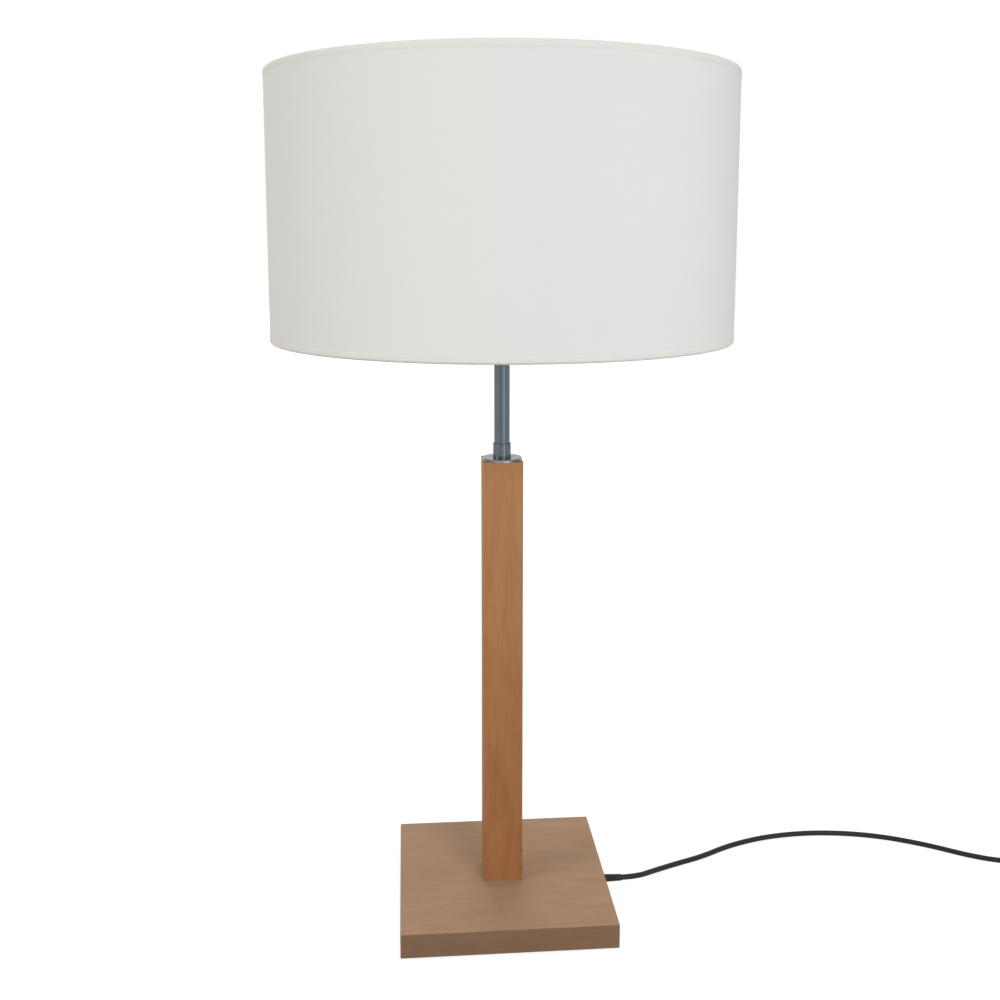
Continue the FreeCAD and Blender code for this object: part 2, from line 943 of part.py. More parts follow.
def shade_skin():
    """Straight drum wall with a hem turned in round the wire at each end, notched for the arms."""
    body = new_body("shade_skin")
    outer = size("shade_dia") / 2
    height = size("shade_height")
    lower = hem_section(outer, 0, 1)
    upper = hem_section(outer, height, -1)
    revolve(body, outline(new_sketch(body, "XZ_Plane"), lower + upper[::-1]))
    notch = new_sketch(body, "XY_Plane", lift=size("skin_thick"))
    half = size("hem_notch") / 2
    inner = outer - hem_width()
    rectangle(notch, -half, inner - 2, half, inner + size("skin_thick") + size("seat_gap"))
    cutter = pocket(body, notch, size("hem_height"), up=True)
    repeat_round(body, cutter, 3)
    settle(body, z=size("shade_bottom"))


def wire_ring(z):
    section = document.addObject("Part::RegularPolygon", "wire_section")
    section.Polygon = CORD_SIDES
    bind(section, Circumradius=size("wire_dia") / 2)
    turn = Rotation(Vector(1, 0, 0), 90) * Rotation(Vector(0, 0, 1), 180 / CORD_SIDES)
    settle(section, shade_wire_radius(), 0, z, turn)
    made = document.addObject("Part::Revolution", "wire")
    made.Source = section
    made.Axis = Vector(0, 0, 1)
    made.Angle = 360
    made.Solid = True
    return made


def shade_wire_radius():
    return size("shade_dia") / 2 - size("skin_thick") - size("wire_dia") / 2 - size("slide_play") / 2


def shade_wires():
    """The upper ring, and the lower ring with three cranked arms and the lampholder's ring."""
    lift = size("skin_thick") + size("wire_dia") / 2 + size("slide_play") / 2
    named("top_wire_ring", wire_ring(shade_top - lift))
    wire_z = size("shade_bottom") + lift
    ring_z = spider_ring_z()
    outer = size("spider_ring_dia") / 2
    bore = size("sleeve_dia") / 2 + size("slide_play")
    thick = size("spider_ring_thick")
    washer = cut(
        cylinder(outer, thick, 0, 0, ring_z), cylinder(bore, thick + 2, 0, 0, ring_z - 1)
    )
    arms = [spider_arm(angle, wire_z, ring_z + thick / 2) for angle in (90, 210, 330)]
    named("shade_spider", fuse(wire_ring(wire_z), washer, *arms))


def spider_arm(angle, wire_z, ring_z):
    """One arm: level from the wire ring inwards, then a straight rise to the centre ring."""
    bend = number(shade_wire_radius()) - 24
    start = Vector(number(shade_wire_radius()) - 0.3, 0, number(wire_z))
    foot = number(size("spider_ring_dia")) / 2 - 2.5
    points = [
        start,
        Vector(bend, 0, number(wire_z)),
        Vector(foot + 22, 0, number(ring_z)),
        Vector(foot, 0, number(ring_z)),
    ]
    path = bent_path("spider_arm", points)
    made = document.addObject("Part::Feature", "arm")
    made.Shape = swept(path, number(size("arm_dia")))
    made.Placement = Placement(Vector(), Rotation(Vector(0, 0, 1), angle))
    return made


def spider_ring_z():
    return sleeve_low + size("sleeve_in_dome") + size("ring_height") + size("seat_gap")


# --- wiring inside the lamp ----------------------------------------------------------------------


def inner_flex():
    """From the gland through the bore and the recess, round one tight bend and up the rod."""
    back = number(size("cord_bore_back"))
    bore_z = number(cord_bore_z)
    dia = number(size("cord_dia"))
    low = number(board_low + size("cover_thick")) + dia / 2 + 0.3
    recess = number(size("recess_dia")) / 2
    points = [
        Vector(number(gland_tip_x()), back, bore_z),
        Vector(recess + 2, back, bore_z),
        Vector(recess * 0.55, back * 0.4, low + 0.2),
        Vector(0, 0, low),
        Vector(0, 0, number(rod_top) + 1),
    ]
    path = bent_path("inner_flex", points, {3: number(rod_low) - low})
    tube_along("inner_flex", path, dia)


def flex_cores():
    """Two insulated cores that fan out from the flex to the terminals under the insert."""
    start_z = number(rod_top) + 1
    end_z = number(insert_low) - number(size("terminal_length")) / 3
    out = number(size("terminal_offset"))
    spread = number(size("core_spacing")) / 2
    cores = []
    for side in (1, -1):
        middle_z = (start_z + end_z) / 2
        points = [
            Vector(side * spread, 0, start_z),
            Vector(side * spread, 0, start_z + (middle_z - start_z) * 0.5),
            Vector(side * out, 0, end_z - (end_z - middle_z) * 0.5),
            Vector(side * out, 0, end_z),
        ]
        path = bent_path("flex_core", points)
        cores.append(tube_along("core", path, number(size("core_dia"))))
    group("flex_cores", cores)


def gland_tip_x():
    return half_board + size("gland_tail")


def cord_gland():
    """Strain relief bush: a body in the bore, a flange on the board's side and a tapered tail."""
    body = new_body("cord_gland")
    bore = size("cord_dia") / 2 + size("slide_play") / 2
    shank = size("cord_bore_dia") / 2 - size("slide_play") / 2
    flange, thick = size("gland_flange_dia") / 2, size("gland_flange_thick")
    inside, tail = size("gland_in_board"), size("gland_tail")
    neck, tip = size("gland_tail_dia") / 2, size("gland_tail_end_dia") / 2
    section = [
        (-inside, bore),
        (tail, bore),
        (tail, tip),
        (thick, neck),
        (thick, flange),
        (0, flange),
        (0, shank),
        (-inside, shank),
    ]
    revolve(body, outline(new_sketch(body, "XZ_Plane"), section), axis="H_Axis")
    settle(body, half_board, size("cord_bore_back"), cord_bore_z)


# --- supply cord, in-line switch, coil and plug --------------------------------------------------

# The cord's route is chosen by hand: the stretch that shows, then on past it to the switch.
SUPPLY_ROUTE = (
    (115, 6, 7.5),
    (131, 7.5, 7.0),
    (148.5, 21.5, 3.2),
    (174, 33.5, 2.6),
    (204, 45, 2.6),
    (236, 63.5, 2.6),
    (280, 78, 2.6),
    (333, 82, 2.6),
    (388, 72, 2.6),
    (434, 50, 2.6),
    (472, 23, 2.6),
    (502, 4, 6.0),
    (527, 4, 6.0),
)
SWITCH_LEAD_ROUTE = (
    (575, 4, 6.0),
    (603, 4, 6.0),
    (632.5, -15, 3.4),
    (632.5, -47, 3.4),
)
SWITCH_CENTRE = (551.0, 4.0)
COIL_CENTRE = (594.5, -52.0)


def route(points):
    return [Vector(*point) for point in points]


def supply_cord():
    path = bent_path("supply_cord", route(SUPPLY_ROUTE))
    tube_along("supply_cord", path, number(size("cord_dia")))


def switch_lead():
    path = bent_path("switch_lead", route(SWITCH_LEAD_ROUTE))
    tube_along("switch_lead", path, number(size("cord_dia")))


def half_turns(first_radius, count, centre_x, start_side, growth, z):
    """Half circles, each with its own centre, so that the radius changes by growth a half turn.
    Seen from above they run clockwise, from the side (+1 or -1 along X) of the first centre."""
    arcs = []
    side = start_side
    radius = first_radius
    x = centre_x
    y = COIL_CENTRE[1]
    for _ in range(count):
        start = Vector(x + side * radius, y, z)
        middle = Vector(x, y - side * radius, z)
        end = Vector(x - side * radius, y, z)
        arcs.append(Part.Arc(start, middle, end))
        x += side * growth
        radius += growth
        side = -side
    return arcs, radius, x, side


def biarc(start, way, end, end_way):
    """Two arcs that leave start along way and reach end along end_way, meeting smoothly."""
    gap = end - start
    together = way + end_way
    spread = 2 * (1 - way.dot(end_way))
    root = math.sqrt(gap.dot(together) ** 2 + spread * gap.dot(gap))
    reach = (root - gap.dot(together)) / spread
    middle = (start + end + (way - end_way) * reach) / 2
    second_way = (end - end_way * reach - middle).normalize()
    return [arc_or_line(start, way, middle), arc_or_line(middle, second_way, end)]


def climb(start, end, side, drift):
    """A half turn that rises from start to end, as two quarter turns of two arcs each."""
    middle_x = (start.x + end.x) / 2
    radius = abs(start.x - end.x) / 2
    middle = Vector(middle_x, start.y - side * (radius + drift), (start.z + end.z) / 2)
    slope = (end.z - start.z) / (math.pi * radius)
    level = Vector(0, -side, 0)
    rising = Vector(-side, 0, slope * 1.6).normalize()
    return biarc(start, level, middle, rising) + biarc(middle, rising, end, Vector(0, side, 0))


COIL_TURNS_IN = 3.0
COIL_TURNS_OUT = 3.5


def cord_coil():
    """A neat put-away coil: the lower layer spirals in, one half turn climbs, and the upper layer
    spirals out again."""
    dia = number(size("cord_dia"))
    step = number(size("coil_step"))
    pitch = number(size("coil_pitch"))
    low = number(coil_low)
    start = Vector(COIL_CENTRE[0] + number(size("coil_radius")), COIL_CENTRE[1], low)
    edges = [Part.LineSegment(start + Vector(0, dia, 0), start)]
    arcs, radius, x, side = half_turns(
        number(size("coil_radius")), int(2 * COIL_TURNS_IN), COIL_CENTRE[0], 1, -pitch / 2, low
    )
    edges += arcs
    top = low + step
    climb_start = arcs[-1].EndPoint
    climb_end = Vector(climb_start.x - side * 2 * radius, climb_start.y, top)
    edges += climb(climb_start, climb_end, side, 0.0)
    arcs, radius, x, side = half_turns(
        radius + pitch / 2, int(2 * COIL_TURNS_OUT), x + side * pitch / 2, -side, pitch / 2, top
    )
    edges += arcs
    end = arcs[-1].EndPoint
    last = end + Vector(0, -side * dia, 0)
    edges.append(Part.LineSegment(end, last))
    path = Part.Wire([e.toShape() for e in edges])
    print("cord_coil least gap to itself %.2f" % least_gap(path, dia))
    tube_along("cord_coil", path, dia)
    return last


def least_gap(path, dia):
    """The smallest clear distance between stretches over three diameters apart along the path."""
    points = path.discretize(Distance=dia / 2)
    step = path.Length / (len(points) - 1)
    skip = int(math.ceil(3 * dia / step))
    best = math.inf
    for i, first in enumerate(points):
        for second in points[i + skip :]:
            if abs(first.x - second.x) < 2 * dia and abs(first.y - second.y) < 2 * dia:
                best = min(best, first.distanceToPoint(second))
    return best - dia


def plug_lead(start):
    """The short stretch from the coil's free end down to the plug."""
    plug_z = number(size("plug_thick")) / 2
    points = [
        start,
        start + Vector(0, -15, 0),
        Vector(start.x - 2, start.y - 33, plug_z),
        Vector(start.x - 2, start.y - 50, plug_z),
    ]
    tube_along("plug_lead", bent_path("plug_lead", points), number(size("cord_dia")))
    return points[-1]


def cord_tie():
    """A flat band round all the turns, on the coil's far side from its two ends."""
    body = new_body("cord_tie")
    dia, pitch, thick = size("cord_dia"), size("coil_pitch"), size("tie_thick")
    first = size("coil_radius") - pitch / 2
    outer = first + pitch + dia / 2 + size("seat_gap")
    inner = first - pitch * 2 - dia / 2 - size("slide_play") * 11
    low = coil_low - dia / 2 - size("slide_play") * 2
    high = coil_low + size("coil_step") + dia / 2 + size("slide_play") * 2
    sketch = new_sketch(body, "YZ_Plane")
    rectangle(sketch, inner - thick, low - thick, outer + thick, high + thick)
    rectangle(sketch, inner, low, outer, high)
    pad(body, sketch, size("tie_width"))
    settle(body, COIL_CENTRE[0] - size("tie_width") / 2, COIL_CENTRE[1])


def at_switch(body, z=0):
    return settle(body, SWITCH_CENTRE[0], SWITCH_CENTRE[1], z)


def upright(edge):
    start, end = edge.Vertexes[0].Point, edge.Vertexes[-1].Point
    return abs(start.x - end.x) < 1e-6 and abs(start.y - end.y) < 1e-6


def switch_shell(label, height, opening_up):
    """Half of the housing: a rounded tray with two screw posts and a cord channel at each end."""
    body = new_body(label)
    long, wide = size("switch_length") / 2, size("switch_width") / 2
    wall = size("switch_wall")
    pad(body, rectangle(new_sketch(body, "XY_Plane"), -long, -wide, long, wide), height)
    ease(body, "Fillet", size("switch_corner"), upright)
    hollow = new_sketch(body, "XY_Plane", lift=wall if opening_up else 0)
    inner_long = long - wall - size("switch_corner") * 0.6
    rectangle(hollow, -inner_long, -wide + wall, inner_long, wide - wall)
    pocket(body, hollow, height - wall, up=True)
    posts = new_sketch(body, "XY_Plane", lift=wall / 2 if opening_up else 0)
    for x, y in switch_screw_places():
        circle(posts, x, y, switch_post())
    pad(body, posts, height - wall / 2)
    channel = new_sketch(body, "YZ_Plane")
    circle(channel, 0, height if opening_up else 0, size("cord_dia") / 2 + size("slide_play"))
    pocket(body, channel, size("switch_length") + 2, middle=True)
    return body


def switch_post():
    return size("switch_screw_dia") / 2 + size("switch_wall") * 0.75


def switch_screw_places():
    """Two screws in opposite corners, beside the cord."""
    across = size("cord_dia") / 2 + size("slide_play") + switch_post() + size("seat_gap")
    along = size("switch_screw_offset")
    return [(along, across), (-along, -across)]


def switch_housing():
    split = size("switch_split")
    lower = switch_shell("switch_base", split, True)
    shank = size("switch_screw_dia") / 2 + size("screw_play") / 2
    holes, seats = new_sketch(lower, "XY_Plane"), new_sketch(lower, "XY_Plane")
    for x, y in switch_screw_places():
        circle(holes, x, y, shank)
        circle(seats, x, y, size("switch_screw_head") / 2 + size("screw_play"))
    pocket(lower, holes)
    pocket(lower, seats, size("switch_wall") * 0.65, up=True)
    at_switch(lower)
    upper = switch_shell("switch_cover", size("switch_height") - split, False)
    pilots = new_sketch(upper, "XY_Plane")
    for x, y in switch_screw_places():
        circle(pilots, x, y, shank)
    pocket(upper, pilots, size("switch_split"), up=True)
    top_edge = size("switch_height") - split
    rim = number(top_edge) - 1e-3
    ease(upper, "Chamfer", size("switch_wall") * 0.6, lambda edge: outer_rim(edge, rim))
    window = new_sketch(upper, "XY_Plane")
    long = size("rocker_length") / 2 + size("rocker_gap")
    wide = size("rocker_width") / 2 + size("rocker_gap")
    rectangle(window, -long, -wide, long, wide)
    pocket(upper, window)
    rocker_cheeks(upper)
    at_switch(upper, split)


def outer_rim(edge, height):
    return all(vertex.Point.z > height for vertex in edge.Vertexes)


def rocker_cheeks(body):
    """Two cheeks beside the window, bored for the rocker's trunnions."""
    split = size("switch_split")
    inner = size("rocker_width") / 2 + size("rocker_gap")
    outer = inner + size("cheek_wall")
    low = size("rocker_gap")
    top = size("switch_height") - split - size("switch_wall") / 2
    long = size("rocker_length") / 3
    cheeks = new_sketch(body, "XY_Plane", lift=low)
    rectangle(cheeks, -long, inner, long, outer)
    rectangle(cheeks, -long, -outer, long, -inner)
    pad(body, cheeks, top - low)
    hole = new_sketch(body, "XZ_Plane")
    radius = size("trunnion_dia") / 2 + size("trunnion_play")
    circle(hole, 0, size("pivot_height") - split, radius)
    pocket(body, hole, trunnion_length() + size("rocker_gap"), middle=True)


def trunnion_length():
    return size("rocker_width") + (size("rocker_gap") + size("cheek_wall") * 0.6) * 2


def switch_rocker():
    """See-saw key: a shallow V on top, round ends about its pivot, and two trunnions."""
    body = new_body("switch_rocker")
    reach = size("rocker_length") / 2
    rise, dip, foot = size("rocker_rise"), size("rocker_dip"), size("rocker_foot")
    heel = foot / 2
    upper = root(reach * reach - rise * rise)
    lower = root(reach * reach - heel * heel)
    sketch = new_sketch(body, "XZ_Plane")
    outline(
        sketch,
        [
            (-upper, rise),
            (-lower, -heel, reach, -1),
            (0, -foot),
            (lower, -heel),
            (upper, rise, reach, -1),
            (0, dip),
        ],
    )
    made = pad(body, sketch, size("rocker_width"))
    made.Midplane = True
    pins = circle(new_sketch(body, "XZ_Plane"), 0, 0, size("trunnion_dia") / 2)
    made = pad(body, pins, trunnion_length())
    made.Midplane = True
    turn = Rotation(Vector(0, 1, 0), -number(size("rocker_tilt")))
    settle(body, SWITCH_CENTRE[0], SWITCH_CENTRE[1], size("pivot_height"), turn)


def switch_small_parts():
    wall = size("switch_wall")
    strips = []
    for side in (1, -1):
        x = size("strip_offset") * side + SWITCH_CENTRE[0]
        strips.append(
            fuse(
                block(
                    size("strip_length"),
                    size("strip_width"),
                    size("strip_thick"),
                    x,
                    SWITCH_CENTRE[1],
                    wall,
                ),
                block(
                    size("strip_thick"),
                    size("strip_width"),
                    size("switch_split") - wall,
                    x + size("strip_length") * side / 2,
                    SWITCH_CENTRE[1],
                    wall,
                ),
            )
        )
    group("switch_contacts", strips)
    seat = size("switch_wall") * 0.65
    head = seat - size("slide_play")
    screws = []
    for x, y in switch_screw_places():
        x, y = x + SWITCH_CENTRE[0], y + SWITCH_CENTRE[1]
        length = size("switch_split") * 2 - seat - 1
        screws.append(
            fuse(
                cylinder(size("switch_screw_head") / 2, head, x, y, seat - head),
                cylinder(size("switch_screw_dia") / 2, length, x, y, seat),
            )
        )
    group("switch_screws", screws)


def plug(tail_end):
    """Flat two-pin plug lying on its side: body, neck and tapering tail, and two sleeved pins."""
    body = new_body("plug_body")
    half = size("plug_width") / 2
    neck = size("plug_neck_width") / 2
    length = size("plug_length")
    plan = [
        (-half, 0),
        (-half, length * 0.45),
        (-neck, length),
        (neck, length),
        (half, length * 0.45),
        (half, 0),
    ]
    shape = pad(body, outline(new_sketch(body, "XY_Plane"), plan), size("plug_thick"))
    shape.Midplane = True
    ease(body, "Fillet", size("plug_thick") / 5, lambda edge: not upright(edge))
    tail = size("plug_tail")
    bore_end = size("cord_dia") / 2 + 0.8
    section = [
        (0, length - 1),
        (size("plug_tail_dia") / 2, length - 1),
        (bore_end, length + tail),
        (0, length + tail),
    ]
    revolve(body, outline(new_sketch(body, "XY_Plane"), section))
    sockets = new_sketch(body, "XZ_Plane")
    for side in (1, -1):
        bore = size("pin_shank_dia") / 2 + size("slide_play") / 2
        circle(sockets, size("pin_spacing") * side / 2, 0, bore)
    pocket(body, sockets, size("pin_root"), up=False)
    x = tail_end.x
    y = tail_end.y - number(length + tail)
    settle(body, x, y, size("plug_thick") / 2)
    plug_pins(x, y)


def plug_pins(x, y):
    """Two pins: a thinner shank from inside the body through an insulating sleeve, and a full
    tip with a tapered nose."""
    z = size("plug_thick") / 2
    nose = size("pin_dia") / 4
    tip = size("pin_length") - size("pin_sleeve_length") - nose
    pins, sleeves = [], []
    for side in (1, -1):
        px = size("pin_spacing") * side / 2 + x
        sleeve = size("pin_sleeve_length")
        shank = size("pin_root") + sleeve
        pins.append(
            fuse(
                cylinder(size("pin_shank_dia") / 2, shank, px, y - sleeve, z, "y"),
                cylinder(size("pin_dia") / 2, tip, px, y - sleeve - tip, z, "y"),
                cone(nose, size("pin_dia") / 2, nose, px, y - size("pin_length"), z, "y"),
            )
        )
        skin = cylinder(size("pin_dia") / 2, sleeve, px, y - sleeve, z, "y")
        bore = size("pin_shank_dia") / 2 + size("slide_play") / 2
        hole = cylinder(bore, sleeve + 2, px, y - sleeve - 1, z, "y")
        sleeves.append(cut(skin, hole))
    group("plug_pins", pins)
    group("plug_sleeves", sleeves)


# --- build and export ----------------------------------------------------------------------------

base_board()
felt_pads()
recess_cover()
cover_screws()
column_post()
column_screws()
threaded_rod()
rod_end_hardware()
steel_stem()
holder_dome()
holder_grub_screw()
holder_inside()
shade_ring("lower_shade_ring", spider_ring_z() - size("ring_height"), True)
shade_ring("upper_shade_ring", spider_ring_z() + size("spider_ring_thick"), False)
bulb()
shade_skin()
shade_wires()
inner_flex()
flex_cores()
cord_gland()
supply_cord()
switch_lead()
coil_end = cord_coil()
cord_tie()
switch_housing()
switch_rocker()
switch_small_parts()
plug(plug_lead(coil_end))
document.recompute()

NODES = (
    "felt_pads",
    "base_board",
    "recess_cover",
    "cover_screws",
    "column_post",
    "column_screws",
    "threaded_rod",
    "base_washer",
    "base_lock_washer",
    "base_nut",
    "cap_disc",
    "stem_collar",
    "stem_tube",
    "holder_dome",
    "holder_grub_screw",
    "holder_sleeve",
    "holder_insert",
    "holder_thread_shell",
    "centre_contact",
    "terminal_screws",
    "lower_shade_ring",
    "upper_shade_ring",
    "bulb_contact",
    "bulb_insulator",
    "bulb_cap",
    "bulb_glass",
    "shade_skin",
    "top_wire_ring",
    "shade_spider",
    "inner_flex",
    "flex_cores",
    "cord_gland",
    "supply_cord",
    "switch_base",
    "switch_cover",
    "switch_rocker",
    "switch_contacts",
    "switch_screws",
    "switch_lead",
    "cord_coil",
    "cord_tie",
    "plug_lead",
    "plug_body",
    "plug_pins",
    "plug_sleeves",
)

failed = [o.Label for o in document.Objects if {"Invalid", "Error"} & set(o.State)]
if failed:
    raise SystemExit("these did not compute: " + " ".join(failed))
pieces = {name: document.getObjectsByLabel(name)[0] for name in NODES}
for name, piece in pieces.items():
    if piece.Shape.isNull() or not piece.Shape.isValid() or piece.Shape.Volume <= 0:
        raise SystemExit(name + " has no sound shape")
os.makedirs("parts", exist_ok=True)
for name, piece in pieces.items():
    piece.Shape.exportStep(os.path.join("parts", name + ".step"))
print(len(pieces), "pieces written")
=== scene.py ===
import math
import bmesh
import bpy
import numpy as np
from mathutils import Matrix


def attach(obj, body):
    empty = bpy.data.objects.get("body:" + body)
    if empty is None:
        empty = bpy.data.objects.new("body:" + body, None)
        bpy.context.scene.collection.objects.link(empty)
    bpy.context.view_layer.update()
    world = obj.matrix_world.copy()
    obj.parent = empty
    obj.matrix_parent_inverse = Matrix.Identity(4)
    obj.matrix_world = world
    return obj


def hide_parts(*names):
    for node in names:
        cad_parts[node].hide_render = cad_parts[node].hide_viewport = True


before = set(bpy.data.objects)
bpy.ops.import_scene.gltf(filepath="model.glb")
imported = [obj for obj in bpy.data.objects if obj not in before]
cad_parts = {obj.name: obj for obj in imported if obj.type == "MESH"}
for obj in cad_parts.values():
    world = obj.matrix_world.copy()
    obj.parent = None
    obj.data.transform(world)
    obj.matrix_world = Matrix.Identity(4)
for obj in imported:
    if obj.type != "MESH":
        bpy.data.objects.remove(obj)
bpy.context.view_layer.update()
bpy.context.scene.view_settings.view_transform = "Standard"
MM = 0.001
TURN = 2 * math.pi


# --- shader maths --------------------------------------------------------------------------------


def tone(red, green, blue):
    """A linear colour from the 0-255 values that a screen shows: a straight foot, and above
    it a power of 2.4."""
    shown = np.array([red, green, blue]) / 255
    linear = np.where(shown <= 0.04045, shown / 12.92, ((shown + 0.055) / 1.055) ** 2.4)
    return (*linear.tolist(), 1.0)


def shade_of(colour, share):
    """The same colour, share times as light."""
    return (*[part * share for part in colour[:3]], 1.0)


def feed(tree, socket, value):
    """Links the socket to a Value or to another socket, or else sets it to the plain value."""
    if isinstance(value, Value):
        value = value.socket
    if isinstance(value, bpy.types.NodeSocket):
        tree.links.new(value, socket)
    else:
        socket.default_value = value


def add_node(tree, kind, settings=None, sockets=None):
    """A node of the kind: its settings first, then its sockets' values or links."""
    node = tree.nodes.new("ShaderNode" + kind)
    for name, value in (settings or {}).items():
        setattr(node, name, value)
    for key, value in (sockets or {}).items():
        feed(tree, node.inputs[key], value)
    return node


class Value:
    """A number socket; an expression on it adds Math nodes."""

    def __init__(self, tree, socket):
        self.tree = tree
        self.socket = socket

    def worked(self, operation, *terms):
        """The result of a Math node on the terms."""
        node = add_node(self.tree, "Math", {"operation": operation}, dict(enumerate(terms)))
        return Value(self.tree, node.outputs[0])

    def __add__(self, other):
        return self.worked("ADD", self, other)

    def __sub__(self, other):
        return self.worked("SUBTRACT", self, other)

    def __rsub__(self, other):
        return self.worked("SUBTRACT", other, self)

    def __mul__(self, other):
        return self.worked("MULTIPLY", self, other)

    def __abs__(self):
        return self.worked("ABSOLUTE", self)

    __radd__ = __add__
    __rmul__ = __mul__

    def sine(self):
        """The sine of an angle in radians."""
        return self.worked("SINE", self)

    def root(self):
        """The square root."""
        return self.worked("SQRT", self)

    def most(self, other):
        """The larger of the two."""
        return self.worked("MAXIMUM", self, other)

    def angle(self, other):
        """The angle whose tangent is this over the other, from minus to plus half a turn."""
        return self.worked("ARCTAN2", self, other)

    def above(self, low, high):
        """0 below low, 1 above high, and a smooth rise between them."""
        node = add_node(
            self.tree,
            "MapRange",
            {"interpolation_type": "SMOOTHSTEP"},
            {"Value": self, "From Min": low, "From Max": high},
        )
        return Value(self.tree, node.outputs[0])


class Finish:
    """One procedural material on the Principled shader."""

    def __init__(self, name, colour=(0.5, 0.5, 0.5, 1), roughness=0.5, **sockets):
        self.material = bpy.data.materials.new(name)
        self.material.use_nodes = True
        self.tree = self.material.node_tree
        self.principled = self.tree.nodes["Principled BSDF"]
        self.at = None
        self.set(Base_Color=colour, Roughness=roughness, **sockets)

    def set(self, **sockets):
        """Feeds the shader's sockets; an underscore in a name stands for a space."""
        for name, value in sockets.items():
            feed(self.tree, self.principled.inputs[name.replace("_", " ")], value)
        return self

    def add(self, kind, settings=None, sockets=None):
        """A node in this finish's own tree."""
        return add_node(self.tree, kind, settings, sockets)

    def point(self):
        """The point in metres, in the object's own frame."""
        if self.at is None:
            self.at = self.add("TexCoord").outputs["Object"]
        return self.at

    def values(self, vector):
        """The parts of a vector, as numbers."""
        split = self.add("SeparateXYZ", sockets={0: vector})
        return [Value(self.tree, output) for output in split.outputs]

    def noise(self, scales, detail=3.0, warp=0.0, vector=None):
        """Noise from 0 to 1 whose cells are this many per metre on each axis."""
        stretched = self.add(
            "VectorMath", {"operation": "MULTIPLY"}, {0: vector or self.point(), 1: scales}
        )
        node = self.add(
            "TexNoise",
            sockets={
                "Vector": stretched.outputs[0],
                "Scale": 1.0,
                "Detail": detail,
                "Distortion": warp,
            },
        )
        return Value(self.tree, node.outputs[0])

    def screw(self, pitch):
        """A thread from -1 to 1: the sine of the turn round Z plus the height in pitches."""
        x, y, z = self.values(self.point())
        return (y.angle(x) + z * (TURN / pitch)).sine()

    def mixed(self, share, low, high, kind="MIX"):
        """The low colour at a share of 0 and the high one, or their product, at a share of 1."""
        node = self.add(
            "Mix", {"data_type": "RGBA", "blend_type": kind}, {0: share, 6: low, 7: high}
        )
        return node.outputs[2]

    def relief(self, height, distance, strength=1.0):
        """Bumps: a height of 1 stands out by the distance in metres."""
        node = self.add(
            "Bump", sockets={"Height": height, "Distance": distance, "Strength": strength}
        )
        return self.set(Normal=node.outputs[0])


# --- finishes ------------------------------------------------------------------------------------

# What a colour is multiplied by: in the wood's flecks; on a board's sides, where it is painted
# shade that also stands for their darker sawn grain, and in their saw marks; and at the bottom of a
# metal thread, where it is painted shade.  DULL is how light a metal's duller patches are.
FLECK_TINT = (0.62, 0.52, 0.44, 1)
SIDE_SHADE_TINT = (0.64, 0.61, 0.58, 1)
SAW_MARK_TINT = (0.7, 0.66, 0.62, 1)
GROOVE_SHADE_TINT = (0.6, 0.6, 0.6, 1)
DULL = 0.75
# Cells along the grain for each one across it.
LONG_GRAIN = 0.05
# Metres: the rim over which a board's top turns to the painted shade of its sides, and the two
# heights between which the post turns to its foot's darker colours, which are painted shade.
SIDE_SHADE_RIM = 0.0004
POST_SHADE_FADE = (0.42, 0.02)
# Metres from the crest of one thread of the cloth to the crest of the next.
WARP_PITCH, WEFT_PITCH = 0.00062, 0.00056


def beech(name, pale, deep, along, mottle, flecks, edge=None, foot=None, nick=None):
    """Oiled beech: soft streaks, bands and slow patches, and short dark ray flecks and pores, each
    a noise stretched along the grain.  edge gives the half width of a board whose sides are
    darkened: painted shade, which also stands for their darker sawn grain; foot gives the darker
    colours that a post turns to towards its lower end, which are painted shade; nick is a bruise's
    place and radius, in metres."""
    finish = Finish(name, Specular_IOR_Level=0.25)
    grain = [LONG_GRAIN if axis == along else 1 for axis in "xyz"]
    streaks = finish.noise([420 * part for part in grain], 4.0, 0.6)
    bands = finish.noise([75 * part for part in grain], 2.0, 0.4)
    patches = finish.noise([54 * (part + 0.25) for part in grain], 3.0, 1.0)
    dashes = finish.noise([1500 * part for part in grain], 1.0)
    pores = finish.noise([5200 * part for part in grain], 1.0).above(0.62, 0.8)
    amount = patches.above(0.3, 0.7) * mottle + streaks * (0.8 - mottle) + bands * 0.2
    x, y, z = finish.values(finish.point())
    colour = finish.mixed(amount, pale, deep)
    # Painted shade: the post turns to darker colours towards its foot.
    if foot:
        colour = finish.mixed(z.above(*POST_SHADE_FADE), colour, finish.mixed(amount, *foot))
    flecked = dashes.above(0.58, 0.72) * flecks + pores * (flecks * 0.6)
    colour = finish.mixed(flecked, colour, FLECK_TINT, "MULTIPLY")
    # Painted shade: the board's sides are darkened, which also stands for their darker sawn grain.
    if edge:
        outside = abs(x).most(abs(y)).above(edge - SIDE_SHADE_RIM, edge)
        saw = finish.noise((60, 60, 2200), 2.0)
        colour = finish.mixed(outside, colour, SIDE_SHADE_TINT, "MULTIPLY")
        colour = finish.mixed(outside * saw * 0.3, colour, SAW_MARK_TINT, "MULTIPLY")
    if nick:
        place, radius = nick
        gaps = [axis - part for axis, part in zip((x, y, z), place)]
        away = sum(gap * gap for gap in gaps).root()
        colour = finish.mixed(away.above(radius, radius * 0.3), colour, tone(70, 44, 32))
    finish.set(Base_Color=colour, Roughness=streaks * 0.12 + 0.66)
    return finish.relief(dashes * 0.7 - pores * 0.5, 0.05 * MM, 0.5)


def spun_steel(name, colour):
    """Steel brushed round its axis: fine rings vary the gloss and the surface with the height."""
    finish = Finish(name, Metallic=1.0)
    rings = finish.noise((300, 300, 9000), 2.0)
    smears = finish.noise((60, 60, 25), 3.0)
    finish.set(
        Base_Color=finish.mixed(smears, shade_of(colour, 0.9), shade_of(colour, 1.1)),
        Roughness=rings * 0.10 + smears * 0.08 + 0.20,
    )
    return finish.relief(rings, 0.01 * MM, 0.25)


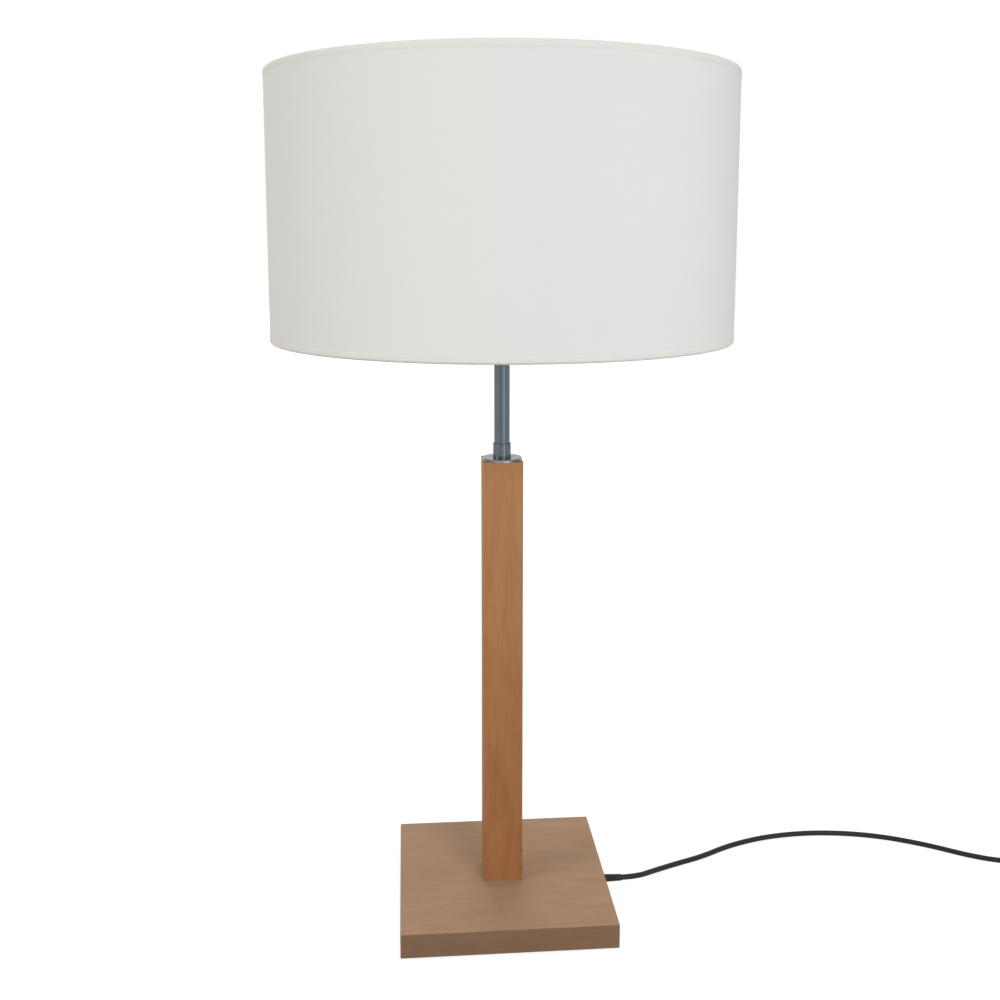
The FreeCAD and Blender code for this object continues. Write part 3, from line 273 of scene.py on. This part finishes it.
def metal(name, colour, roughness, thread=None):
    """Plated or drawn metal: noise for faint scratches and duller patches, and a screw thread with
    painted shade in its grooves, where a pitch and a depth in metres are given."""
    finish = Finish(name, Metallic=1.0)
    patches = finish.noise((160, 160, 160), 4.0, 0.5)
    scratches = finish.noise((3000, 3000, 500), 2.0)
    colour = finish.mixed(patches.above(0.35, 0.75), colour, shade_of(colour, DULL))
    height = scratches * (0.01 * MM)
    if thread:
        pitch, depth = thread
        crest = finish.screw(pitch) * 0.5 + 0.5
        # Painted shade at the bottom of the thread.
        shaded_groove = finish.mixed(1.0, colour, GROOVE_SHADE_TINT, "MULTIPLY")
        colour = finish.mixed(crest, shaded_groove, colour)
        height = height + crest * depth
    finish.set(Base_Color=colour, Roughness=patches * 0.14 + scratches * 0.06 + roughness - 0.1)
    return finish.relief(height, 1.0)


def moulded(name, colour, roughness, grain, thread=None, ribs=None, **sockets):
    """Moulded plastic: a fine grain of the given depth, faint flow marks and a slightly uneven
    gloss.  thread is a screw's pitch and depth; ribs, a sine along one axis, are that axis, the
    two ends, a pitch and a depth.  All of these are in metres."""
    finish = Finish(name, **sockets)
    fine = finish.noise((2600, 2600, 2600), 2.0)
    flow = finish.noise((45, 45, 45), 3.0, 0.8)
    height = fine * grain
    if thread:
        pitch, depth = thread
        height = height + finish.screw(pitch) * depth
    if ribs:
        axis, low, high, pitch, depth = ribs
        at = finish.values(finish.point())["xyz".index(axis)]
        between = at.above(low, low + MM) * (1 - at.above(high - MM, high))
        height = height + (at * (TURN / pitch)).sine() * between * depth
    finish.set(
        Base_Color=finish.mixed(flow, shade_of(colour, 0.93), shade_of(colour, 1.05)),
        Roughness=fine * 0.10 + flow * 0.08 + roughness - 0.09,
    )
    return finish.relief(height, 1.0)


def linen(name, thread, hollow, lining, inside):
    """Plain-woven linen outside a white lining.  Two sets of threads are sines of the map's two
    directions; their product says which one lies on top.  Slubs are stretched noise.  Points
    nearer to the axis than inside, in metres, are the lining."""
    finish = Finish(name, Sheen_Weight=0.08, Specular_IOR_Level=0.2)
    flat = finish.add("UVMap", {"uv_map": "cloth"}).outputs[0]
    along, across, _ = finish.values(flat)
    drift = finish.noise((90, 90, 90), 1.0) * 1.6
    warp = (along * (math.pi / WARP_PITCH) + drift).sine()
    weft = (across * (math.pi / WEFT_PITCH) + drift * 1.7).sine()
    on_top = (warp * weft).above(-0.4, 0.4)
    height = abs(warp) * on_top + abs(weft) * (1 - on_top)
    long_slubs = finish.noise((70, 1500, 1), 2.0, vector=flat).above(0.60, 0.78)
    tall_slubs = finish.noise((1400, 60, 1), 2.0, vector=flat).above(0.64, 0.80)
    slubs = long_slubs.most(tall_slubs * 0.7)
    cloudy = finish.noise((14, 14, 14), 3.0)
    streaky = finish.noise((6, 900, 1), 2.0, vector=flat)
    cloth = finish.mixed(height, hollow, thread)
    cloth = finish.mixed(slubs * 0.45, cloth, shade_of(thread, 0.90))
    cloth = finish.mixed(cloudy * 0.5 + streaky * 0.5, cloth, shade_of(thread, 0.97))
    x, y, _ = finish.values(finish.point())
    outer = (x * x + y * y).root().above(inside - 0.05 * MM, inside + 0.05 * MM)
    finish.set(
        Base_Color=finish.mixed(outer, lining, cloth), Roughness=height * -0.1 + 0.95
    )
    return finish.relief((height * 0.6 + slubs * 0.7) * outer, 0.16 * MM, 0.5)


def felt(name, colour):
    """Pressed felt: matted fibres as two layers of warped noise."""
    finish = Finish(name, roughness=0.97, Sheen_Weight=0.3, Specular_IOR_Level=0.15)
    fibres = finish.noise((1400, 1400, 1400), 4.0, 2.5)
    clumps = finish.noise((240, 240, 240), 3.0, 1.0)
    mixture = fibres * 0.6 + clumps * 0.4
    finish.set(Base_Color=finish.mixed(mixture, shade_of(colour, 0.6), shade_of(colour, 1.4)))
    return finish.relief(fibres + clumps * 0.5, 0.4 * MM, 0.7)


def opal_glass(name, colour):
    """Coated white glass with a faint ripple from blowing, as slow noise."""
    finish = Finish(name, Coat_Weight=0.5, Coat_Roughness=0.08)
    ripple = finish.noise((70, 70, 45), 2.0)
    finish.set(
        Base_Color=finish.mixed(ripple, shade_of(colour, 0.96), colour),
        Roughness=ripple * 0.1 + 0.18,
    )
    return finish.relief(ripple, 0.06 * MM, 0.3)


# --- surfaces ------------------------------------------------------------------------------------

MERGE_GAP = 2e-6  # metres
SHARP_ANGLE = 40  # degrees
ROUND_SIDES = 16
CORNER_POINTS = 5
BEND_POINTS = 9


def eased(share):
    """A smooth rise from 0 to 1: three times the square less twice the cube."""
    return share * share * (3 - 2 * share)


def quads(rows, columns):
    """Corner numbers of the faces between neighbouring points of a grid."""
    number = np.arange(rows * columns).reshape(rows, columns)
    corners = (number[:-1, :-1], number[:-1, 1:], number[1:, 1:], number[1:, :-1])
    return np.stack([corner.ravel() for corner in corners], axis=1)


def surface(name, grids, finish, replaced, maps=None):
    """A piece from grids of points in millimetres, rows by columns by 3.  Points that meet at a
    seam or a pole are merged, and the faces turn outwards.  maps are the cloth's own metres."""
    sizes = [grid.shape[0] * grid.shape[1] for grid in grids]
    starts = np.concatenate([[0], np.cumsum(sizes)[:-1]])
    points = np.concatenate([grid.reshape(-1, 3) for grid in grids]) * MM
    faces = np.concatenate(
        [quads(*grid.shape[:2]) + start for grid, start in zip(grids, starts)]
    )
    mesh = bpy.data.meshes.new(name)
    mesh.from_pydata(points.tolist(), [], faces.tolist())
    if maps:
        places = np.concatenate([part.reshape(-1, 2) for part in maps])
        layer = mesh.uv_layers.new(name="cloth")
        layer.data.foreach_set("uv", places[faces.ravel()].astype(np.float32).ravel())
    shell = bmesh.new()
    shell.from_mesh(mesh)
    bmesh.ops.remove_doubles(shell, verts=shell.verts, dist=MERGE_GAP)
    bmesh.ops.recalc_face_normals(shell, faces=shell.faces)
    shell.to_mesh(mesh)
    shell.free()
    mesh.polygons.foreach_set("use_smooth", np.ones(len(mesh.polygons), dtype=bool))
    mesh.set_sharp_from_angle(angle=math.radians(SHARP_ANGLE))
    mesh.materials.append(finish.material)
    piece = bpy.data.objects.new(name, mesh)
    bpy.context.scene.collection.objects.link(piece)
    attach(piece, "lamp")
    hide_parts(*replaced)
    return piece


def turned(profile, columns=96, centre=(0, 0)):
    """A profile of (radius, height) points carried round Z: (r cos a, r sin a, z)."""
    angle = np.linspace(0, TURN, columns + 1)
    radius, height = (np.asarray(part, dtype=float)[:, None] for part in zip(*profile))
    x = centre[0] + radius * np.cos(angle)
    y = centre[1] + radius * np.sin(angle)
    return np.stack([x, y, height + 0 * angle], axis=2)


def ring_profile(radius, height, thick):
    """A round wire's section: a circle of the radius thick about (radius, height)."""
    angle = np.linspace(0, TURN, ROUND_SIDES + 1)
    return list(zip(radius + thick * np.cos(angle), height + thick * np.sin(angle)))


def rounded(inner, outer, low, high, ease):
    """A closed section with eased corners: four quarter circles joined by straight lines, the two
    outer ones first, from the lower one up."""
    quarter = np.linspace(0, math.pi / 2, CORNER_POINTS)
    corners = (
        (outer - ease, low + ease, -math.pi / 2),
        (outer - ease, high - ease, 0),
        (inner + ease, high - ease, math.pi / 2),
        (inner + ease, low + ease, math.pi),
    )
    points = [
        (r + ease * math.cos(start + turn), z + ease * math.sin(start + turn))
        for r, z, start in corners
        for turn in quarter
    ]
    return points + points[:1]


def round_rod(line, radius, angle):
    """A round rod along a line of (radius, height) points in the upright plane at the angle.
    Each ring is centre + radius (cos t normal + sin t side), and the ends close to a point."""
    line = np.asarray(line, dtype=float)
    way = np.gradient(line, axis=0)
    way /= np.linalg.norm(way, axis=1)[:, None]
    line = np.concatenate([line[:1], line, line[-1:]])
    way = np.concatenate([way[:1], way, way[-1:]])
    thick = np.full(len(line), radius)
    thick[[0, -1]] = 0
    turn = np.linspace(0, TURN, ROUND_SIDES + 1)
    out = thick[:, None] * np.cos(turn)
    side = thick[:, None] * np.sin(turn)
    r = line[:, :1] - way[:, 1:] * out
    z = line[:, 1:] + way[:, :1] * out
    x = r * math.cos(angle) - side * math.sin(angle)
    y = r * math.sin(angle) + side * math.cos(angle)
    return np.stack([x, y, z], axis=2)


def bent(corners, reach):
    """Straight runs whose corners are quadratic curves that start a reach before each one."""
    corners = [np.array(corner, dtype=float) for corner in corners]
    share = np.linspace(0, 1, BEND_POINTS)[:, None]
    points = [corners[0][None]]
    for before, corner, after in zip(corners, corners[1:], corners[2:]):
        start = corner + (before - corner) / np.linalg.norm(before - corner) * reach
        end = corner + (after - corner) / np.linalg.norm(after - corner) * reach
        points.append(
            start * (1 - share) ** 2 + corner * 2 * share * (1 - share) + end * share**2
        )
    return np.concatenate(points + [corners[-1][None]])


# --- camera --------------------------------------------------------------------------------------

camera_data = bpy.data.cameras.new("camera")
camera_data.sensor_width = 36.0
camera_data.lens = 42.184
camera_data.shift_y = -0.1
camera_data.clip_start = 0.01
camera = bpy.data.objects.new("camera", camera_data)
camera.location = (-0.08494, -1.02248, 0.6218)
camera.rotation_euler = (math.radians(90 - 8.379), 0, math.radians(-4.6517))
bpy.context.scene.collection.objects.link(camera)
bpy.context.scene.camera = camera


# --- cords ---------------------------------------------------------------------------------------

# Millimetres.  The cord leaves the board's gland, lies on the table and rises into the switch, and
# the lead goes on from the switch to the coil.
SUPPLY_ROUTE = [
    (115, 6, 7.5),
    (131, 7.5, 7.0),
    (148.5, 21.5, 3.2),
    (174, 33.5, 2.6),
    (204, 45, 2.6),
    (236, 63.5, 2.6),
    (280, 78, 2.6),
    (333, 82, 2.6),
    (388, 72, 2.6),
    (434, 50, 2.6),
    (472, 23, 2.6),
    (502, 4, 6.0),
    (527, 4, 6.0),
]
SWITCH_LEAD_ROUTE = [
    (575, 4, 6.0),
    (603, 4, 6.0),
    (632.5, -15, 3.4),
    (632.5, -47, 3.4),
]
CORD = 5.0
COIL_CENTRE = (594.5, -52.0)
COIL_RADIUS = 38.0
COIL_PITCH = 5.5
COIL_LOW = 3.4
COIL_STEP = 5.5
HALF_TURNS_BELOW, HALF_TURNS_ABOVE = 6, 7
PLUG_Z = 6.85


def half_turn(radius, centre_x, side, low, high):
    """Six control points of a clockwise half turn.  A quadratic spline cuts inside its points, so
    they stand out by 1 / cos 15 degrees.  The height eases from low to high."""
    out = radius / math.cos(math.radians(15))
    points = []
    for step in range(6):
        angle = math.radians(15 + 30 * step)
        rise = eased((step + 0.5) / 6)
        points.append(
            (
                centre_x + side * out * math.cos(angle),
                COIL_CENTRE[1] - side * out * math.sin(angle),
                low + (high - low) * rise,
            )
        )
    return points


def coil_points():
    """Three turns in, one half turn that climbs, and three and a half turns out above them.  The
    radius changes by half the pitch at each half turn, whose centre moves over by as much."""
    points = []
    radius, x, side = COIL_RADIUS, COIL_CENTRE[0], 1
    high = COIL_LOW + COIL_STEP
    for _ in range(HALF_TURNS_BELOW):
        points += half_turn(radius, x, side, COIL_LOW, COIL_LOW)
        x -= side * COIL_PITCH / 2
        radius -= COIL_PITCH / 2
        side = -side
    points += half_turn(radius, x, side, COIL_LOW, high)
    for _ in range(HALF_TURNS_ABOVE):
        x += side * COIL_PITCH / 2
        radius += COIL_PITCH / 2
        side = -side
        points += half_turn(radius, x, side, high, high)
    return points, x + radius, high


sheath = moulded(
    "cord sheath", tone(24, 24, 27), 0.5, 0.02 * MM, Specular_IOR_Level=0.25
)


def cord_curve(name, points, replaced):
    """A round cord along the quadratic spline of the points, from the first to the last."""
    data = bpy.data.curves.new(name, "CURVE")
    data.dimensions = "3D"
    data.bevel_depth = 1.0
    data.bevel_resolution = 6
    data.resolution_u = 10
    spline = data.splines.new("NURBS")
    spline.points.add(len(points) - 1)
    for point, at in zip(spline.points, points):
        point.co = (at[0] * MM, at[1] * MM, at[2] * MM, 1.0)
        point.radius = CORD / 2 * MM
    spline.order_u = 3
    spline.use_endpoint_u = True
    data.materials.append(sheath.material)
    piece = bpy.data.objects.new(name, data)
    bpy.context.scene.collection.objects.link(piece)
    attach(piece, "lamp")
    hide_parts(*replaced)
    return piece


def nodes(*names):
    """The CAD nodes of these names."""
    return [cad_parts[name] for name in names]


turns, coil_end_x, coil_end_z = coil_points()
lead_y = COIL_CENTRE[1] - CORD
plug_lead_route = [
    (coil_end_x, lead_y, coil_end_z),
    (coil_end_x, lead_y - 15, coil_end_z),
    (coil_end_x - 2, lead_y - 33, PLUG_Z),
    (coil_end_x - 2, lead_y - 50, PLUG_Z),
]
supply = cord_curve("cord_to_switch", SUPPLY_ROUTE, ["supply_cord"])
far = cord_curve(
    "cord_to_plug",
    SWITCH_LEAD_ROUTE + turns + plug_lead_route,
    ["switch_lead", "cord_coil", "plug_lead"],
)


# --- shade ---------------------------------------------------------------------------------------

# Millimetres.
SHADE_LOW, SHADE_HIGH = 525.0, 750.0
SHADE_RADIUS = 200.0
WALL_OUT, WALL_IN = 199.78, 199.38
CLOTH_INSET = 2.0
# The cloth's end laps over its start, and its outside rises by a step over the lap's edge.
LAP, LAP_STEP, LAP_EDGE = 12.0, 0.3, 0.35
SEAM_START = LAP / 2 / SHADE_RADIUS
# The wires' radius, that of the rings' centre line, and its height from the shade's edge.
WIRE_RADIUS = 1.5
RING_RADIUS, RING_INSET = 197.65, 2.35
# From the shade's edge, the tape covers the outside for its band and the inside for its lip, and
# it folds round the ring between them.
TAPE_THICK, TAPE_BAND, TAPE_LIP = 0.22, 5.5, 9.0
FOLD_RADIUS = RING_INSET - TAPE_THICK / 2
FOLD_START = TAPE_BAND - RING_INSET
FOLD_END = FOLD_START + math.pi * FOLD_RADIUS
TAPE_WIDTH = FOLD_END + TAPE_LIP - RING_INSET
TAPE_RIM = 0.25
TAPE_BACK = 40.0  # where the map of the tape's back ends, clear of the map of its face
# Each arm goes through a notch in the lower tape, which ends there before its fold does.
LIP_RADIUS = 195.5
NOTCH_HALF, NOTCH_SLOPE, NOTCH_DEEP = 2.5, 0.4, 4.6
# The arms' places from the front; the one at the back stands at both ends of the turn.
ARM_PLACES = (-math.pi, -math.pi / 3, math.pi / 3, math.pi)
ARM_DEGREES = (90, 210, 330)
ARM_RADIUS = 1.4
ARM_BEND = 10
# Radii at which an arm starts in its ring, turns up, turns level again and ends on the hub.
ARM_START, ARM_LOW_BEND, ARM_HIGH_BEND, ARM_END = 197.35, 173.65, 52.5, 30.5
HUB_BORE, HUB_RADIUS, HUB_EASE = 19.7, 33, 0.6
HUB_LOW, HUB_HIGH = 542.8, 544.8
RING_COLUMNS = 240

cloth = linen(
    "linen", tone(240, 239, 235), tone(222, 221, 216), tone(240, 240, 237), 0.1996
)
tape = linen(
    "linen tape", tone(240, 238, 231), tone(222, 220, 213), tone(240, 238, 231), 0.0
)
wire = moulded("white lacquer", tone(232, 232, 228), 0.4, 0.03 * MM)


def around_drum():
    """Angles from the front, with more columns at the back seam and at the arms' notches."""
    even = np.linspace(-math.pi, math.pi, 361)
    seam_steps = np.array([-0.4, -0.1, 0, 0.1, 0.25, 0.4, 0.8])
    notch_steps = np.array([-3.4, -3.0, -2.8, -2.6, -2.4, 2.4, 2.6, 2.8, 3.0, 3.4])
    seam = math.pi - SEAM_START + seam_steps / SHADE_RADIUS
    notches = [place + notch_steps / LIP_RADIUS for place in ARM_PLACES]
    every = np.concatenate([even, seam] + notches)
    return np.unique(np.round(every[abs(every) <= math.pi], 7))


def carried_round(angle, radius, height):
    """Points at (r sin a, -r cos a, z), from the back over the front to the back."""
    x = radius * np.sin(angle)
    y = -radius * np.cos(angle)
    return np.stack([x, y, height + 0 * angle], axis=2)


def cloth_map(angle, down):
    """The cloth's own metres: its way round at the shade's radius, and the length down it."""
    along = SHADE_RADIUS * MM * angle
    return np.stack([along + 0 * down, down * MM + 0 * angle], axis=2)


def drum_wall():
    """The laminated cloth: a straight drum 0.4 mm thick.  Its end laps over its start at the back:
    there the outside rises by a step, stays proud for the lap and eases down over as much again."""
    angle = around_drum()
    past = SHADE_RADIUS * np.mod(angle + math.pi + SEAM_START, TURN)
    rise = np.clip(past / LAP_EDGE, 0, 1)
    fall = 1 - np.clip((past - LAP) / LAP, 0, 1)
    proud = LAP_STEP * eased(rise) * eased(fall)
    levels = np.linspace(SHADE_LOW + CLOTH_INSET, SHADE_HIGH - CLOTH_INSET, 12)[:, None]
    outside = carried_round(angle, WALL_OUT + proud + 0 * levels, levels)
    inside = carried_round(angle, WALL_IN + 0 * angle + 0 * levels, levels[::-1])
    grid = np.concatenate([outside, inside, outside[:1]])
    closing = levels[:1] + 2 * (SHADE_HIGH - SHADE_LOW)
    down = np.concatenate([levels, 2 * SHADE_HIGH - levels[::-1], closing])
    places = cloth_map(angle, down)
    return surface(
        "drum_cloth", [grid], cloth, ["shade_skin"], maps=[places]
    )


def tape_line(run):
    """Centre line and outward way of the tape over one ring, by the length run along it: down the
    outside, half round the ring and up the inside, as (radius, height above the edge)."""
    turn = np.clip((run - FOLD_START) / FOLD_RADIUS, 0, math.pi)
    radius = RING_RADIUS + FOLD_RADIUS * np.cos(turn)
    height = (
        RING_INSET
        - FOLD_RADIUS * np.sin(turn)
        + np.clip(FOLD_START - run, 0, None)
        + np.clip(run - FOLD_END, 0, None)
    )
    return radius, height, np.cos(turn), -np.sin(turn)


def edge_tape(name, edge, way, notched):
    """Tape of the same cloth folded over a wire ring: the centre line moved half the thickness
    each way, thinning to nothing at its rims as a quarter circle does, and cut back at each arm."""
    angle = around_drum()
    ends = np.full(len(angle), TAPE_WIDTH)
    if notched:
        notch_end = FOLD_END - NOTCH_DEEP
        for place in ARM_PLACES:
            gap = abs(angle - place) * LIP_RADIUS
            beside = np.clip((gap - NOTCH_HALF) / NOTCH_SLOPE, 0, 1)
            ends = np.minimum(ends, notch_end + (TAPE_WIDTH - notch_end) * beside)
    rim = np.array([0, 0.03, 0.08, 0.15, TAPE_RIM])
    fold = np.linspace(TAPE_RIM, FOLD_END, 22)
    lip = np.linspace(FOLD_END, TAPE_WIDTH, 5)
    runs = np.unique(np.concatenate([rim, fold, lip, TAPE_WIDTH - rim[1:]]))[:, None]
    run = np.minimum(runs, ends)
    left = np.clip(np.minimum(run, ends - run) / TAPE_RIM, 0, 1)
    half = TAPE_THICK / 2 * np.sqrt(1 - (1 - left) ** 2)
    radius, height, out_r, out_z = tape_line(run)
    face, back = [
        carried_round(angle, radius + off * out_r, edge + way * (height + off * out_z))
        for off in (half, -half)
    ]
    grid = np.concatenate([face, back[::-1], face[:1]])
    down = np.concatenate([run, TAPE_BACK - run[::-1], run[:1]])
    places = cloth_map(angle, down)
    return surface(name, [grid], tape, ["shade_skin"], maps=[places])


def shade_frame():
    """Round wires: the two rings in the tapes, three cranked arms and the lampholder's ring."""
    low = SHADE_LOW + RING_INSET
    hub = (HUB_LOW + HUB_HIGH) / 2
    arm = bent(
        [(ARM_START, low), (ARM_LOW_BEND, low), (ARM_HIGH_BEND, hub), (ARM_END, hub)], ARM_BEND
    )
    spider = [turned(ring_profile(RING_RADIUS, low, WIRE_RADIUS), RING_COLUMNS)]
    spider += [round_rod(arm, ARM_RADIUS, math.radians(at)) for at in ARM_DEGREES]
    spider.append(turned(rounded(HUB_BORE, HUB_RADIUS, HUB_LOW, HUB_HIGH, HUB_EASE)))
    lower = surface("shade_spider_wires", spider, wire, ["shade_spider"])
    ring = turned(ring_profile(RING_RADIUS, SHADE_HIGH - RING_INSET, WIRE_RADIUS), RING_COLUMNS)
    upper = surface("shade_top_wire", [ring], wire, ["top_wire_ring"])
    return lower, upper


drum = drum_wall()
tapes = [
    edge_tape("tape_low", SHADE_LOW, 1, True),
    edge_tape("tape_high", SHADE_HIGH, -1, False),
]
spider_wires, top_wire = shade_frame()


# --- felt ----------------------------------------------------------------------------------------

# Millimetres: a pad's radius, thickness and soft rim, and its place from the board's middle.
PAD_RADIUS, PAD_THICK, PAD_RIM = 8.0, 1.5, 0.45
PAD_PLACE = 77.0
PAD_COLUMNS = 48

outer_corners = rounded(0, PAD_RADIUS, 0, PAD_THICK, PAD_RIM)[: 2 * CORNER_POINTS]
pads = [
    turned([(0, 0)] + outer_corners + [(0, PAD_THICK)], PAD_COLUMNS, (x, y))
    for x in (-PAD_PLACE, PAD_PLACE)
    for y in (-PAD_PLACE, PAD_PLACE)
]
pad_felt = felt("felt", tone(58, 54, 50))
surface("felt_feet", pads, pad_felt, ["felt_pads"])


# --- finishes of the CAD pieces ------------------------------------------------------------------

# Metres, in the order that each finish takes them.
BOARD_EDGE = 0.0949
POST_NICK = ((0.0174, -0.0174, 0.052), 0.0017)
GLAND_RIBS = ("x", 0.098, 0.113, 0.003, 0.0002)
TAIL_RIBS = ("y", -0.123, -0.108, 0.0028, 0.0002)
ROD_THREAD = (0.001, 0.0003)
SLEEVE_THREAD = (0.0025, 0.0003)
SHELL_THREAD = (0.00363, 0.0004)
CAP_THREAD = (0.00363, 0.0005)

MATT = {"Specular_IOR_Level": 0.3}
WHITE = tone(234, 233, 228)
BRASS = tone(206, 168, 96)
DRESSED = [
    (
        beech(
            "beech board",
            pale=tone(178, 144, 115),
            deep=tone(160, 126, 98),
            along="x",
            mottle=0.35,
            flecks=0.22,
            # The board's sides get painted shade.
            edge=BOARD_EDGE,
        ),
        "base_board",
    ),
    (
        beech(
            "beech post",
            pale=tone(190, 140, 96),
            deep=tone(166, 110, 66),
            along="z",
            mottle=0.3,
            flecks=0.2,
            # Darker colours towards the foot: painted shade.
            foot=(tone(176, 122, 80), tone(146, 88, 46)),
            nick=POST_NICK,
        ),
        "column_post",
    ),
    (
        moulded("black plastic", tone(28, 28, 30), 0.45, 0.03 * MM, **MATT),
        "recess_cover switch_base switch_cover cord_tie plug_sleeves",
    ),
    (moulded("black rocker key", tone(34, 34, 36), 0.34, 0.01 * MM, **MATT), "switch_rocker"),
    (
        moulded("black gland", tone(26, 26, 28), 0.5, 0.03 * MM, ribs=GLAND_RIBS, **MATT),
        "cord_gland",
    ),
    (
        moulded("black plug", tone(27, 27, 29), 0.45, 0.03 * MM, ribs=TAIL_RIBS, **MATT),
        "plug_body",
    ),
    (
        metal("zinc steel", tone(176, 178, 180), 0.36),
        "cover_screws column_screws base_washer base_lock_washer base_nut holder_grub_screw "
        "switch_screws",
    ),
    (metal("threaded steel", tone(172, 174, 176), 0.34, thread=ROD_THREAD), "threaded_rod"),
    (spun_steel("brushed steel", tone(84, 93, 97)), "stem_collar stem_tube"),
    # The cap disc's steel is a lighter copy of the brushed steel: a painted highlight.
    (spun_steel("steel with painted highlight", tone(132, 138, 141)), "cap_disc"),
    (
        moulded("white plastic", WHITE, 0.38, 0.01 * MM),
        "holder_dome holder_insert lower_shade_ring upper_shade_ring",
    ),
    (
        moulded("white threaded plastic", WHITE, 0.38, 0.01 * MM, thread=SLEEVE_THREAD),
        "holder_sleeve",
    ),
    (
        metal("brass", BRASS, 0.32),
        "centre_contact terminal_screws bulb_contact switch_contacts plug_pins",
    ),
    (metal("brass shell", BRASS, 0.32, thread=SHELL_THREAD), "holder_thread_shell"),
    (moulded("black glass", tone(14, 14, 16), 0.16, 0.01 * MM), "bulb_insulator"),
    (metal("rolled aluminium", tone(196, 198, 200), 0.34, thread=CAP_THREAD), "bulb_cap"),
    (opal_glass("opal glass", tone(242, 241, 236)), "bulb_glass"),
    (moulded("core insulation", tone(120, 72, 40), 0.38, 0.01 * MM), "flex_cores"),
    (sheath, "inner_flex"),
]
for finish, names in DRESSED:
    for node in nodes(*names.split()):
        node.data.materials.clear()
        node.data.materials.append(finish.material)


# --- floor, world and lights ---------------------------------------------------------------------

FLOOR_REACH = 8.0
FLOOR_COLOUR = (0.36, 0.36, 0.36, 1)
# What the camera sees of the floor by itself at two distances from the lamp, where 1 is white.
NEAR, FAR = 0.3, 1.0
GLOW_NEAR, GLOW_FAR = 0.80, 1.04
DIM_SKY, DIM_STRENGTH = (0.96, 0.98, 1.0, 1), 0.45
WHITE_SKY = (1, 1, 1, 1)
AIM_HEIGHT = 0.35
# Azimuth in degrees, height, distance, width and length in metres, watts, and colour.
LIGHTS = {
    "key": (22, 1.4, 2.4, 1.0, 1.2, 22.5, (0.97, 0.99, 1.0)),
    "left": (-72, 1.0, 2.0, 1.0, 1.1, 14.5, (1.0, 0.97, 0.92)),
    "panel": (25, 0.5, 1.35, 0.3, 1.0, 2.6, (0.95, 0.98, 1.0)),
    "right": (84, 0.8, 2.2, 0.9, 1.0, 3, (0.92, 0.97, 1.0)),
    "back": (176, 2.2, 1.7, 1.2, 1.0, 15, (1.0, 1.0, 1.0)),
}


def plain_rays(tree):
    """1 for rays from the camera and for those that metal or glass turns, and 0 for the rest."""
    path = add_node(tree, "LightPath")
    seen = [
        Value(tree, path.outputs["Is %s Ray" % kind])
        for kind in ("Camera", "Glossy", "Transmission")
    ]
    return seen[0].most(seen[1]).most(seen[2])


def floor():
    """A pale table top: seen as almost white near the lamp, where its soft shadow stays, and as
    pure white from 1 m on, where it meets the white surroundings."""
    mesh = bpy.data.meshes.new("floor")
    signs = [(-1, -1), (1, -1), (1, 1), (-1, 1)]
    corners = [(x * FLOOR_REACH, y * FLOOR_REACH, 0) for x, y in signs]
    mesh.from_pydata(corners, [], [(0, 1, 2, 3)])
    piece = bpy.data.objects.new("floor", mesh)
    bpy.context.scene.collection.objects.link(piece)
    top = Finish("white table", FLOOR_COLOUR, 0.9, Specular_IOR_Level=0.0)
    x, y, _ = top.values(top.point())
    away = (x * x + y * y).root().above(NEAR, FAR)
    level = plain_rays(top.tree) * (away * (GLOW_FAR - GLOW_NEAR) + GLOW_NEAR)
    glow = top.add("CombineXYZ", sockets={0: level, 1: level, 2: level})
    top.set(Emission_Color=glow.outputs[0], Emission_Strength=1.0)
    mesh.materials.append(top.material)


def surroundings():
    """A world that is seen as white and lights the lamp dimly."""
    scene = bpy.context.scene
    scene.world = bpy.data.worlds.new("surroundings")
    scene.world.use_nodes = True
    tree = scene.world.node_tree
    tree.nodes.clear()
    dim = add_node(tree, "Background", sockets={0: DIM_SKY, 1: DIM_STRENGTH})
    white = add_node(tree, "Background", sockets={0: WHITE_SKY, 1: 1.0})
    both = add_node(
        tree, "MixShader", sockets={0: plain_rays(tree), 1: dim.outputs[0], 2: white.outputs[0]}
    )
    add_node(tree, "OutputWorld", sockets={0: both.outputs[0]})


def soft_box(name, azimuth, height, distance, width, length, power, colour):
    """An area light at an azimuth from the camera's side (0), right positive, aimed at the lamp."""
    angle = math.radians(azimuth)
    data = bpy.data.lights.new(name, "AREA")
    data.shape = "RECTANGLE"
    data.size = width
    data.size_y = length
    data.energy = power
    data.color = colour
    light = bpy.data.objects.new(name, data)
    light.location = (distance * math.sin(angle), -distance * math.cos(angle), height)
    light.rotation_euler = (math.atan2(distance, height - AIM_HEIGHT), 0, angle)
    bpy.context.scene.collection.objects.link(light)


floor()
surroundings()
for name, light in LIGHTS.items():
    soft_box(name, *light)

bpy.context.view_layer.update()
